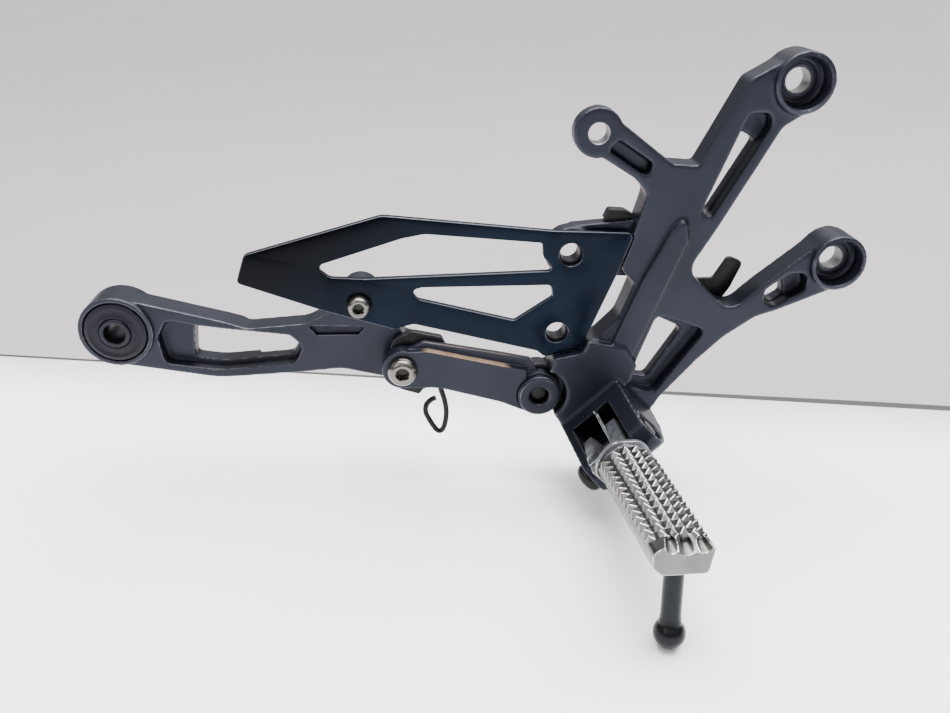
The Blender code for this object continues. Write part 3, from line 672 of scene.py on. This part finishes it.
def link_coat():
    """Gunmetal coat of the link, its top ledge rubbed through to tan dirt and metal."""
    f = Finish("link_coat")
    coat = tuple(bpy.context.scene.footpeg_casting.coat)
    edge = f.edge()
    cloud = f.grain(45, 3)
    patch = f.grain(190, 5, 0.66)
    fine = f.grain(1700, 2)
    base = f.mix(cloud.ramp(0.35, 0.65), tone(coat, 0.9), tone(coat, 1.25))
    # painted highlight: rounded convex edges lightened towards a pale grey-blue
    base = f.mix(edge.ramp(0.12, 0.55) * 0.4, base, (0.045, 0.048, 0.062))
    x, y, z = f.axes()
    along = (x / MM - LINK_EYE[0]) / 62.0
    lift = z / MM - (LINK_EYE[1] + 10.6 - along * 13.4)
    normal = f.node("ShaderNodeNewGeometry", {"out": "Normal"})
    ledge = f.axes(normal)[2].ramp(0.75, 0.9) * along.ramp(0.14, 0.2) * along.ramp(0.82, 0.76)
    ledge = ledge * (y / MM).ramp(-13.4, -14.0) * lift.ramp(-4, -2)
    earth = f.mix(patch.ramp(0.35, 0.7), (0.26, 0.175, 0.11), (0.15, 0.095, 0.06))
    base = f.mix(ledge, base, earth)
    rough = 0.36 + ledge * 0.3 + (patch - 0.5) * 0.15
    return f.set(Base_Color=base, Metallic=0.55 - ledge * 0.5, Roughness=rough, Specular_IOR_Level=0.3,
                 Normal=f.bump(fine * 0.5 + patch * 0.5, 0.28, 0.06))


# ---------------------------------------------------------------- castings
GUARD_SEAT = [
    (-241.9, -82.9, 2), (-237.1, -69.0, 3), (-176.4, -52.5, 8), (-101.5, -60.9, 30), (-64.5, -62.6, 2.5),
    (-70.3, -80.2, 4), (-86.1, -120.2, 4), (-103.9, -123.6, 3), (-107.0, -120.5, 3), (-164.2, -105.0, 5),
    (-173.0, -107.4, 3), (-205.1, -97.1, 2)]
EAR = [(40, -1), (45, -16), (50.5, -36, 10), (54, -48.5, 5), (60, -52.6, 5), (67.5, -52.4, 6),
       (72, -45, 8), (76, -28, 4), (73, -1)]
THROAT = [(WEB_B, -60), (WEB_B, FOOT_FACE - GAP), (52.3, FOOT_FACE - GAP), (52.3, -12), (61, -12, 1),
          (63.5, STOP_Y, 1), (90, STOP_Y), (90, -60)]
PIN_RECESS = [(56.6, -49.2, 3), (66.5, -50.2, 4), (69.2, -44.0, 4), (68.6, -37.6, 4), (54.6, -37.6, 4),
              (54.2, -43.5, 3)]


def bore(centre, radius, front, back, mouth=0.5):
    """Cutter for a drilled hole with a small countersink at both faces."""
    return turned("tool", about_y(centre), [
        (0, front - 4), (radius + mouth + 4, front - 4), (radius, front + mouth), (radius, back - mouth),
        (radius + mouth + 4, back + 4), (0, back + 4)], 48)


def counterbore(centre):
    """Cutter for a frame bolt: wide seat for its head, step, ring and bore behind it."""
    floor = BOSS_FACE + COUNTERBORE_DEPTH
    r = COUNTERBORE_R
    return turned("tool", about_y(centre), [
        (0, BOSS_FACE - 5), (r + 5.7, BOSS_FACE - 5), (r + 0.2, BOSS_FACE + 0.5), (r, BOSS_FACE + 0.9),
        (r - 0.2, floor - 1.2), (r - 1.2, floor - 0.2), (8.1, floor - 0.1), (7.8, floor + 0.5),
        (6.6, floor + 0.5), (6.4, floor + 0.1), (5.7, floor + 0.1), (5.25, floor + 0.6), (5.25, -0.5),
        (5.7, 0.3), (0, 0.3)], 72)


def bracket_casting():
    """Main bracket: rounded skin of its CAD solid, seats, clevis and bores cut sharp."""
    sizes = bpy.context.scene.footpeg_casting
    parts = [
        from_node("shell", "main_bracket"),
        disc(UPPER_BOLT, BOSS_PAD_R, BOSS_FACE, 0), disc(LOWER_BOLT, BOSS_PAD_R, BOSS_FACE, 0),
        disc(LUG_HOLE, PAD_R, FACE, LUG_BACK), disc(GUARD_HOLE_A, PAD_R, GUARD_SEAT_Y, PAD_BACK),
        disc(GUARD_HOLE_B, PAD_R, GUARD_SEAT_Y, PAD_BACK),
        disc(HUB, PAD_R, LINK_SEAT, -1), disc(STAY_EYE, 3.4, -8.5, -1),
        pin_slab(rounded(EAR), EAR_LEFT[1] - 0.6, EAR_RIGHT[0] + 0.6)]
    obj = cast("bracket_casting", parts, sizes.cell, sizes.rounds)
    cut(obj, [
        counterbore(UPPER_BOLT), counterbore(LOWER_BOLT),
        bore(LUG_HOLE, BORE_R, FACE, LUG_BACK), bore(GUARD_HOLE_A, BORE_R, GUARD_SEAT_Y, PAD_BACK, 0.4),
        bore(GUARD_HOLE_B, BORE_R, GUARD_SEAT_Y, PAD_BACK, 0.4), bore(HUB, BORE_R, LINK_SEAT, -1, 0.3),
        slab(rounded(GUARD_SEAT), -30, GUARD_SEAT_Y), disc(HUB, HUB_SEAT_R, -30, LINK_SEAT),
        pin_slab(rounded(THROAT), EAR_LEFT[1], EAR_RIGHT[0]), pin_slab(rounded(PIN_RECESS), PIN_SEAT, -130),
        pin_slab(circle((PIN_B, PIN_Y), BRACKET_PIN_R, 48, 0), -200, -130)])
    return marked(obj)


def hanger_casting():
    """Exhaust hanger arm with its shallow recess and two bores."""
    sizes = bpy.context.scene.footpeg_casting
    parts = [from_node("shell", "hanger_arm"), disc(LINK_EYE, PAD_R, ARM_FACE, ARM_REAR),
             disc(GUARD_EYE, 4, ARM_FACE, ARM_REAR)]
    obj = cast("hanger_arm_casting", parts, sizes.cell * 0.7, sizes.rounds)
    recess = rounded([(-213.5, -107.6, 1), (-186.5, -108.8, 1), (-190.0, -112.9, 1.5), (-209.5, -112.6, 1.5)])
    cut(obj, [bore(LINK_EYE, BORE_R, ARM_FACE, ARM_REAR), bore(GUARD_EYE, SMALL_BORE_R, ARM_FACE, ARM_REAR),
              slab(recess, -12, ARM_FACE + 1.8)])
    return marked(obj)


def link_casting():
    """Link between the hub and the hanger arm."""
    sizes = bpy.context.scene.footpeg_casting
    parts = [from_node("shell", "hanger_link"), disc(LINK_EYE, PAD_R, LINK_FACE, LINK_BACK)]
    obj = cast("hanger_link_casting", parts, sizes.cell * 0.5, sizes.rounds)
    cut(obj, [bore(LINK_EYE, BORE_R, LINK_FACE, LINK_BACK, 0.3)])
    return marked(obj)


# ---------------------------------------------------------------- peg
def half_width(t):
    """Half the width of the tread; t runs from 0 at the root to 1 at the tip."""
    return 12.6 - 1.2 * t


def tread_height(w, t):
    """Height of the tread's valleys; t runs from 0 at the root to 1 at the tip."""
    crown, edge = 7.4 - 1.8 * t, -2.4 + 4.4 * t
    return crown - (crown - edge) * min(1.0, abs(w) / half_width(t)) ** 2.2


def peg_blank():
    """Tapered bar with rows of sharp pyramids on top."""
    sizes = bpy.context.scene.footpeg_peg
    rows, teeth = sizes.rows, sizes.teeth
    first, last = 2.0, PEG_L - 6.5
    stations = [-3.6] + [first + (last - first) * k / teeth for k in range(teeth + 1)]
    verts, faces, grid = [], [], []
    for s in stations:
        t = s / PEG_L
        half = half_width(t)
        floor, edge = -8.4 + 1.8 * t, tread_height(half, t)
        row = []
        for j in range(rows + 1):
            w = -half + 2 * half * j / rows
            row.append(len(verts))
            verts.append(peg_point(s, w, tread_height(w, t)))
        below = []
        for w, u in ((half + 0.3, edge - 1.5), (half - 0.4, floor + 2.6), (half - 1.7, floor + 1.0),
                     (half - 4.5, floor), (-half + 4.5, floor), (-half + 1.7, floor + 1.0),
                     (-half + 0.4, floor + 2.6), (-half - 0.3, edge - 1.5)):
            below.append(len(verts))
            verts.append(peg_point(s, w, u))
        grid.append((row, below))
    for i in range(len(stations) - 1):
        (row, below), (far, far_below) = grid[i], grid[i + 1]
        for j in range(rows):
            corners = [row[j], row[j + 1], far[j + 1], far[j]]
            if i == 0:
                faces.append(corners)
                continue
            middle = sum((verts[c] for c in corners), Vector()) / 4
            t = (stations[i] + stations[i + 1]) / 2 / PEG_L
            half = half_width(t)
            w = -half + 2 * half * (j + 0.5) / rows
            slope = (tread_height(w + 0.1, t) - tread_height(w - 0.1, t)) / 0.2
            rise = (PEG_U - PEG_W * slope).normalized()
            tip = middle + rise * sizes.tooth
            top = len(verts)
            verts += [tip + (verts[c] - middle) * 0.06 for c in corners]
            for k in range(4):
                n = (k + 1) % 4
                faces.append((corners[k], corners[n], top + n, top + k))
            faces.append((top, top + 1, top + 2, top + 3))
        ring, far_ring = [row[-1]] + below + [row[0]], [far[-1]] + far_below + [far[0]]
        for k in range(len(ring) - 1):
            faces.append((ring[k], ring[k + 1], far_ring[k + 1], far_ring[k]))
    for row, below in (grid[0], grid[-1]):
        faces.append(tuple(row + below))
    return solid("blank", verts, faces)


def across(outline, low, high):
    """Outline in (W, U) from s = low to s = high along the peg."""
    return loft("tool", [[peg_point(s, p[0], p[1]) for p in outline] for s in (low, high)])


def scoop(w, u, radius, low, high, widen):
    """Round cutter along the peg, its radius widen times as large at the far end."""
    turns = [math.tau * k / 32 for k in range(32)]
    rings = [[peg_point(s, w + r * math.cos(t), u + r * math.sin(t)) for t in turns]
             for s, r in ((low, radius), (high, radius * widen))]
    return loft("tool", rings)


def peg_casting():
    """Peg with its toothed blank, end lip, root flange and two lugs."""
    sizes = bpy.context.scene.footpeg_peg
    flange = rounded([(-13.4, -8.6, 3), (-13.6, -1.0, 6), (-7.6, 9.2, 8), (7.6, 9.2, 8), (13.6, -1.0, 6),
                      (13.4, -8.6, 3)])
    lip = rounded([(-7.6, -6.8, 2), (-11.4, -3.4, 2), (-11.8, 2.6, 3), (-6.4, 5.4, 3), (-1.6, 6.6, 2),
                   (5.0, 7.4, 4), (11.6, 3.8, 1.5), (9.6, -6.8, 2)])
    lug = rounded([(LUG_TOP, -58), (LUG_TOP, -33.5, 1), (57, -30.5, 1.5), (63, -30.5),
                   (64.5, STOP_Y - GAP, 0.5), (70.5, STOP_Y - GAP, 1.5), (71.5, -40, 3), (71.5, -58)])
    shoulder = [(53.0, -59), (53.0, -54.6), (71.0, -54.0), (71.0, -59)]
    end = across(lip, PEG_L - LIP_L, PEG_L)
    cut(end, [scoop(*where, PEG_L + 1, widen) for *where, widen in (
        (2.2, 9.4, 3.0, PEG_L - 8, 2.9), (-4.2, 5.2, 0.9, PEG_L - 7.6, 3.6),
        (1.6, 4.6, 1.2, PEG_L - 7.6, 3.2), (7.4, 4.8, 0.9, PEG_L - 7.6, 3.6))])
    parts = [
        peg_blank(), end, across(flange, -2.6, 0),
        pin_slab(lug, *LUG_LEFT), pin_slab(lug, *LUG_RIGHT),
        pin_slab(shoulder, LUG_LEFT[0] + 3, LUG_RIGHT[1] - 0.5)]
    obj = cast("peg_body", parts, sizes.cell, 2)
    pin_hole = pin_slab(circle((PIN_B, PIN_Y), PEG_PIN_R, 48), -190, -140)
    well = turned("tool", about_feeler, [
        (0, 3.2), (FEELER_BORE_R, 3.2), (FEELER_BORE_R, -19.0), (0, -19.0)], 48)
    cut(obj, [pin_hole, well])
    return marked(obj, 1)


def feeler_bolt():
    """Ball-ended bolt: threaded end hidden in the peg, smooth neck, worn flat under the ball."""
    ball_u, ball_r, shank = -39.5, 6.3, FEELER_R
    profile = [(0, 3.0), (shank - 0.5, 3.0), (shank, 2.5), (shank, -30.4), (shank + 0.12, -31.6)]
    join = math.asin((shank + 0.7) / ball_r)
    profile.append((shank + 0.35, ball_u + ball_r * math.cos(join) + 0.5))
    for k in range(25):
        angle = join + (math.radians(156) - join) * k / 24
        profile.append((ball_r * math.sin(angle), ball_u + ball_r * math.cos(angle)))
    profile.append((0, ball_u + ball_r * math.cos(math.radians(156)) + 0.1))
    return marked(turned("peg_feeler_bolt", about_feeler, profile, 72), 1)


def return_spring():
    """Torsion spring round the pin between the lugs of the peg."""
    radius, wire, turns, pitch = 6.3, 0.9, 3, 2.1
    start = LUG_RIGHT[0] - 1.3
    path = []
    for k in range(turns * 36 + 1):
        angle = math.pi + math.tau * k / 36
        path.append(A * (start - pitch * k / 36) + B * (PIN_B + radius * math.cos(angle))
                    + Y * (PIN_Y + radius * math.sin(angle)))
    lay = WEB_Y - wire - GAP
    rest = A * (start + 0.6) + B * (WEB_B + 1.3) + Y * (lay - 0.6)
    tip = A * (start + 0.9) + B * (WEB_B - 1.4) + Y * (lay - 0.1)
    upper = smooth_path([tip, rest.lerp(tip, 0.35), rest, rest.lerp(path[0], 0.5)], 4)
    lower = [path[-1] - Y * 2.5, path[-1] - Y * 5.0, path[-1] - Y * 7.6]
    return marked(bar("return_spring", upper + path + lower, wire, 16), 1)


# ---------------------------------------------------------------- hardware
def dome_screw(name, centre, seat, head_r, head_h, socket_r, shank_r, tip):
    """Dome head in front of y = seat with a six-sided socket; shank back to y = tip."""
    profile = [(0, seat - head_h), (socket_r + 0.7, seat - head_h), (socket_r + 1.0, seat - head_h + 0.08)]
    for k in range(12):
        angle = math.radians(84 - 7 * k)
        profile.append((socket_r + 0.9 + (head_r - socket_r - 0.9) * math.cos(angle),
                        seat - 0.5 - (head_h - 0.5) * math.sin(angle)))
    profile += [(head_r, seat - 0.5), (head_r, seat - 0.15), (head_r - 0.25, seat), (shank_r, seat),
                (shank_r, tip - 0.6), (shank_r - 0.6, tip), (0, tip)]
    obj = turned(name, about_y(centre), profile, 72)
    top, corner_r = seat - head_h, socket_r * 1.12
    socket = slab(circle(centre, corner_r, 6, 0.2), top - 1, seat - head_h * 0.28)
    mouth = turned("tool", about_y(centre), [
        (0, top - 1), (corner_r + 1.35, top - 1), (socket_r * 0.98, top + 0.45), (0, top + 0.45)], 48)
    cut(obj, [socket, mouth])
    return machined(obj, 0.08, 1, 40)


def refined(name, node, width, angle=34):
    """Hardware from its CAD solid with every corner eased."""
    return machined(from_node(name, node), width, 2, angle)


# ---------------------------------------------------------------- sizes and colours that a user may change
class CastingSettings(bpy.types.PropertyGroup):
    """Skin and coat of the castings"""
    cell: FloatProperty(name="Cell", description="Size of the skin's cells on the bracket, in millimetres",
                        default=0.7, min=0.4, max=2.0)
    rounds: IntProperty(name="Rounding", description="Steps that round the cast corners", default=8,
                        min=0, max=30)
    coat: FloatVectorProperty(name="Coat", description="Colour of the satin coat", subtype="COLOR", size=3,
                              default=(0.0105, 0.0120, 0.0195), min=0, max=1)


class GuardSettings(bpy.types.PropertyGroup):
    """Edge and colour of the heel guard"""
    corner: FloatProperty(name="Edge", description="Width of the plate's eased edge, in millimetres",
                          default=0.35, min=0.05, max=1.0)
    colour: FloatVectorProperty(name="Colour", description="Colour of the plate", subtype="COLOR", size=3,
                                default=(0.0020, 0.0050, 0.0112), min=0, max=1)


class PegSettings(bpy.types.PropertyGroup):
    """Tread, skin and alloy of the peg"""
    rows: IntProperty(name="Rows", description="Rows of pyramids across the tread", default=6, min=3, max=9)
    teeth: IntProperty(name="Teeth", description="Pyramids along each row", default=14, min=6, max=24)
    tooth: FloatProperty(name="Tooth", description="Height of a pyramid, in millimetres", default=2.5,
                         min=0.5, max=4.0)
    cell: FloatProperty(name="Cell", description="Size of the skin's cells on the peg, in millimetres",
                        default=0.32, min=0.2, max=1.0)
    alloy: FloatVectorProperty(name="Alloy", description="Colour of the bare alloy", subtype="COLOR", size=3,
                               default=(0.155, 0.153, 0.150), min=0, max=1)


class StageSettings(bpy.types.PropertyGroup):
    """Floor and lights"""
    floor: FloatVectorProperty(name="Floor", description="Colour of the floor", subtype="COLOR", size=3,
                               default=(0.93, 0.93, 0.935), min=0, max=1)
    board: FloatVectorProperty(name="Board", description="Colour of the floor's far board", subtype="COLOR",
                               size=3, default=(0.30, 0.280, 0.286), min=0, max=1)
    sun: FloatProperty(name="Sun", description="Strength of the broad light from above", default=6.0, min=0)
    key: FloatProperty(name="Key light", description="Power of the softbox overhead", default=35.0, min=0,
                       unit="POWER")
    sky: FloatProperty(name="Sky", description="Strength of the soft light all round", default=1.6, min=0)


# ---------------------------------------------------------------- operators
class FOOTPEG_OT_castings(bpy.types.Operator):
    """Builds the bracket, hanger arm and link castings"""
    bl_idname = "footpeg.castings"
    bl_label = "Castings"

    def execute(self, context):
        coat = satin_coat()
        shown(bracket_casting(), "frame", coat, ["main_bracket"])
        shown(hanger_casting(), "frame", coat, ["hanger_arm"])
        shown(link_casting(), "frame", link_coat(), ["hanger_link"])
        collar = refined("hub_collar_turned", "hub_collar", 0.25, 25)
        shown(collar, "frame", coat, ["hub_collar"])
        return {"FINISHED"}


class FOOTPEG_OT_guard(bpy.types.Operator):
    """Builds the heel guard plate"""
    bl_idname = "footpeg.guard"
    bl_label = "Heel guard"

    def execute(self, context):
        width = context.scene.footpeg_guard.corner
        plate = refined("heel_guard_plate", "heel_guard", width)
        shown(plate, "frame", plate_coat(), ["heel_guard"])
        return {"FINISHED"}


class FOOTPEG_OT_bush(bpy.types.Operator):
    """Builds the rubber bush and its sleeve"""
    bl_idname = "footpeg.bush"
    bl_label = "Bush"

    def execute(self, context):
        low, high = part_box("bush_rubber")
        front, back, outer = low.y / MM, high.y / MM, (high.x - low.x) / 2 / MM
        profile = [(7.3, front), (8.0, front - 0.25), (9.0, front + 0.25), (11.2, front + 0.25),
                   (12.0, front - 0.1), (outer - 1.7, front), (outer - 0.5, front + 0.5),
                   (outer, front + 1.7), (outer, back - 1.6), (outer - 1.3, back), (7.3, back)]
        ring = marked(turned("bush_rubber_ring", about_y(BUSH), profile, 96), 1)
        black = rubber("bush_rubber_finish", (0.0025, 0.0026, 0.0065))
        shown(ring, "frame", black, ["bush_rubber"])
        sleeve = refined("bush_sleeve", "bush_collar", 0.2)
        steel = turned_steel("sleeve_steel", (0.010, 0.010, 0.016), 0.75, 0.34, 0.4)
        shown(sleeve, "frame", steel, ["bush_collar"])
        return {"FINISHED"}


class FOOTPEG_OT_hardware(bpy.types.Operator):
    """Builds screws, nuts, the hub bolt, spacer, the black plates, hose hook and stop pad"""
    bl_idname = "footpeg.hardware"
    bl_label = "Hardware"

    def execute(self, context):
        for name, node, centre, head, height, socket, shank in (
                ("link_dome_screw", "link_screw", LINK_EYE, 7.0, 4.6, 2.9, 3.9),
                ("guard_dome_screw", "guard_screw", GUARD_EYE, 5.4, 4.2, 2.4, 2.9)):
            low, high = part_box(node)
            seat = low.y / MM + height
            screw = dome_screw(name, centre, seat, head, height, socket, shank, high.y / MM)
            steel = turned_steel(name + "_steel", (0.15, 0.143, 0.132), 0.95, 0.24, 0.8,
                                 (centre, socket * 0.9))
            shown(screw, "frame", steel, [node])
        zinc = turned_steel("zinc_plate", (0.22, 0.23, 0.245), 0.95, 0.27, 0.4)
        dark = turned_steel("dark_steel", (0.006, 0.006, 0.007), 0.7, 0.4, 0.5)
        for node in ("link_nut", "guard_nut", "stay_screw"):
            shown(refined(node + "_plated", node, 0.18), "frame", zinc, [node])
        shown(refined("hub_bolt_turned", "hub_bolt", 0.18), "frame", dark, ["hub_bolt"])
        spacer = refined("guard_spacer_ring", "guard_spacer", 0.15)
        shown(spacer, "frame", turned_steel("spacer_steel", (0.1, 0.1, 0.1)), ["guard_spacer"])
        black = black_coat()
        for node, width in (("guide_plate", 0.4), ("switch_stay", 0.3)):
            shown(refined(node + "_coated", node, width), "frame", black, [node])
        hook = from_node("hose_hook_wire", "hose_hook")
        hook.modifiers.new("round", "SUBSURF").levels = 1
        shown(marked(baked(hook), 1), "frame", black, ["hose_hook"])
        pad = refined("stop_pad_rubber", "stop_pad", 0.5)
        shown(pad, "frame", rubber("stop_rubber", (0.006, 0.006, 0.007)), ["stop_pad"])
        return {"FINISHED"}


class FOOTPEG_OT_pivot(bpy.types.Operator):
    """Builds the clevis pin, its washer and clip, and the return spring"""
    bl_idname = "footpeg.pivot"
    bl_label = "Pivot"

    def execute(self, context):
        zinc = turned_steel("pivot_zinc", (0.27, 0.29, 0.295), 0.95, 0.22, 0.35)
        pin = refined("clevis_pin", "peg_pin", 0.2)
        dark = turned_steel("pin_dirty_steel", (0.010, 0.009, 0.008), 0.7, 0.38, 0.7)
        shown(pin, "frame", dark, ["peg_pin"])
        for node in ("pin_washer", "pin_clip"):
            shown(refined(node + "_plated", node, 0.1), "frame", zinc, [node])
        shown(return_spring(), "frame", zinc, ["peg_spring"])
        plate = refined("spring_rest_plate", "spring_plate", 0.25)
        shown(plate, "peg", zinc, ["spring_plate"])
        return {"FINISHED"}


class FOOTPEG_OT_peg(bpy.types.Operator):
    """Builds the folding peg and its feeler bolt"""
    bl_idname = "footpeg.peg"
    bl_label = "Peg"

    def execute(self, context):
        shown(peg_casting(), "peg", bare_alloy(), ["peg"], 40)
        steel = turned_steel("feeler_steel", (0.011, 0.012, 0.014), 0.85, 0.32, 0.5)
        shown(feeler_bolt(), "peg", steel, ["peg_feeler"])
        return {"FINISHED"}


class FOOTPEG_OT_stage(bpy.types.Operator):
    """Makes the floor, lights and camera"""
    bl_idname = "footpeg.stage"
    bl_label = "Stage"

    def execute(self, context):
        sizes = context.scene.footpeg_stage
        reach = 30000
        corners = [(-reach, -reach, 0), (reach, -reach, 0), (reach, reach, 0), (-reach, reach, 0)]
        floor = solid("floor", corners, [(0, 1, 2, 3)])
        floor.location.z = CAD_BOX[0].z - 0.3 * MM
        floor.data.materials.append(floor_finish(sizes))
        sun = bpy.data.lights.new("sun", "SUN")
        sun.energy = sizes.sun
        sun.angle = math.radians(70)
        linked("sun", sun).rotation_euler = facing((-0.25, -0.30, -1))
        for name, place, aim, size, share, colour in (
                ("key", (-0.10, 0.05, 1.10), (-0.12, -0.02, -0.08), (1.3, 0.8), 1.0, (1, 0.98, 0.97)),
                ("rim", (0.70, 0.30, 0.60), (-0.05, -0.02, -0.08), (0.5, 0.4), 0.04, (0.96, 0.97, 1)),
                ("front", (-0.75, -0.60, 0.45), (-0.1, 0, -0.1), (0.35, 0.5), 0.05, (1, 1, 1))):
            lamp = bpy.data.lights.new(name, "AREA")
            lamp.shape = "RECTANGLE"
            lamp.size, lamp.size_y = size
            lamp.energy = sizes.key * share
            lamp.color = colour
            obj = linked(name, lamp)
            obj.location = place
            obj.rotation_euler = facing(Vector(aim) - Vector(place))
        context.scene.world = soft_sky(sizes.sky)
        camera = bpy.data.cameras.new("camera")
        camera.sensor_width = 36
        camera.lens = CAMERA_LENS
        camera.clip_start = 0.01
        view = linked("camera", camera)
        axes = Matrix((CAMERA_RIGHT, CAMERA_BACK.cross(CAMERA_RIGHT), CAMERA_BACK)).transposed()
        view.matrix_world = Matrix.Translation(CAMERA_PLACE) @ axes.to_4x4()
        context.scene.camera = view
        return {"FINISHED"}


def facing(direction):
    """Turn of a light that shines along the direction."""
    return Vector(direction).to_track_quat("-Z", "Y").to_euler()


def soft_sky(strength):
    """World that brightens from a dark horizon to a white top."""
    world = bpy.data.worlds.new("soft_sky")
    world.use_nodes = True
    tree = world.node_tree
    place = tree.nodes.new("ShaderNodeTexCoord")
    split = tree.nodes.new("ShaderNodeSeparateXYZ")
    ramp = tree.nodes.new("ShaderNodeValToRGB")
    stops = ((0.10, (0.10, 0.10, 0.115, 1)), (0.85, (1.0, 0.98, 0.98, 1)))
    for stop, (at, colour) in zip(ramp.color_ramp.elements, stops):
        stop.position = at
        stop.color = colour
    sky = tree.nodes["Background"]
    tree.links.new(place.outputs["Generated"], split.inputs[0])
    tree.links.new(split.outputs["Z"], ramp.inputs[0])
    tree.links.new(ramp.outputs[0], sky.inputs[0])
    sky.inputs[1].default_value = strength
    return world


def floor_finish(sizes):
    """Pale floor with a slightly warmer board beyond a thin seam, and painted shade on the floor as it nears
    the board.
    """
    f = Finish("pale_floor")
    x, y, _ = f.axes()
    beyond = y + x * 0.19
    board = beyond.ramp(0.0632, 0.0640)
    seam = board * (beyond - x.ramp(-0.12, 0.10) * 0.0035).ramp(0.0668, 0.0660)
    cloud = f.grain(7, 3)
    # painted shade: the pale floor greys towards the board's edge
    near = f.mix(beyond.ramp(0.012, 0.0632), tuple(sizes.floor), tone(sizes.floor, 0.55))
    base = f.mix(board, near, f.mix(cloud, tone(sizes.board, 0.94), tone(sizes.board, 1.05)))
    base = f.mix(seam * 0.95, base, (0.004, 0.004, 0.004))
    return f.set(Base_Color=base, Roughness=0.6)


class FOOTPEG_PT_panel(bpy.types.Panel):
    """Operators and settings in the sidebar"""
    bl_label = "Foot peg assembly"
    bl_idname = "FOOTPEG_PT_panel"
    bl_space_type = "VIEW_3D"
    bl_region_type = "UI"
    bl_category = "Foot Peg"

    def draw(self, context):
        for operator in OPERATORS:
            self.layout.operator(operator.bl_idname)
        for name, group in GROUPS:
            box = self.layout.box()
            settings = getattr(context.scene, name)
            for key in group.__annotations__:
                box.prop(settings, key)


GROUPS = (("footpeg_casting", CastingSettings), ("footpeg_guard", GuardSettings),
          ("footpeg_peg", PegSettings), ("footpeg_stage", StageSettings))
OPERATORS = (FOOTPEG_OT_stage, FOOTPEG_OT_castings, FOOTPEG_OT_guard, FOOTPEG_OT_bush, FOOTPEG_OT_hardware,
             FOOTPEG_OT_pivot, FOOTPEG_OT_peg)


def register():
    for name, group in GROUPS:
        bpy.utils.register_class(group)
        setattr(bpy.types.Scene, name, PointerProperty(type=group))
    for cls in (*OPERATORS, FOOTPEG_PT_panel):
        bpy.utils.register_class(cls)


def unregister():
    for cls in (FOOTPEG_PT_panel, *reversed(OPERATORS)):
        bpy.utils.unregister_class(cls)
    for name, group in reversed(GROUPS):
        delattr(bpy.types.Scene, name)
        bpy.utils.unregister_class(group)


def main():
    """Builds the scene."""
    register()
    bpy.ops.footpeg.stage()
    bpy.ops.footpeg.castings()
    bpy.ops.footpeg.guard()
    bpy.ops.footpeg.bush()
    bpy.ops.footpeg.hardware()
    bpy.ops.footpeg.pivot()
    bpy.ops.footpeg.peg()


if __name__ == "__main__":
    main()
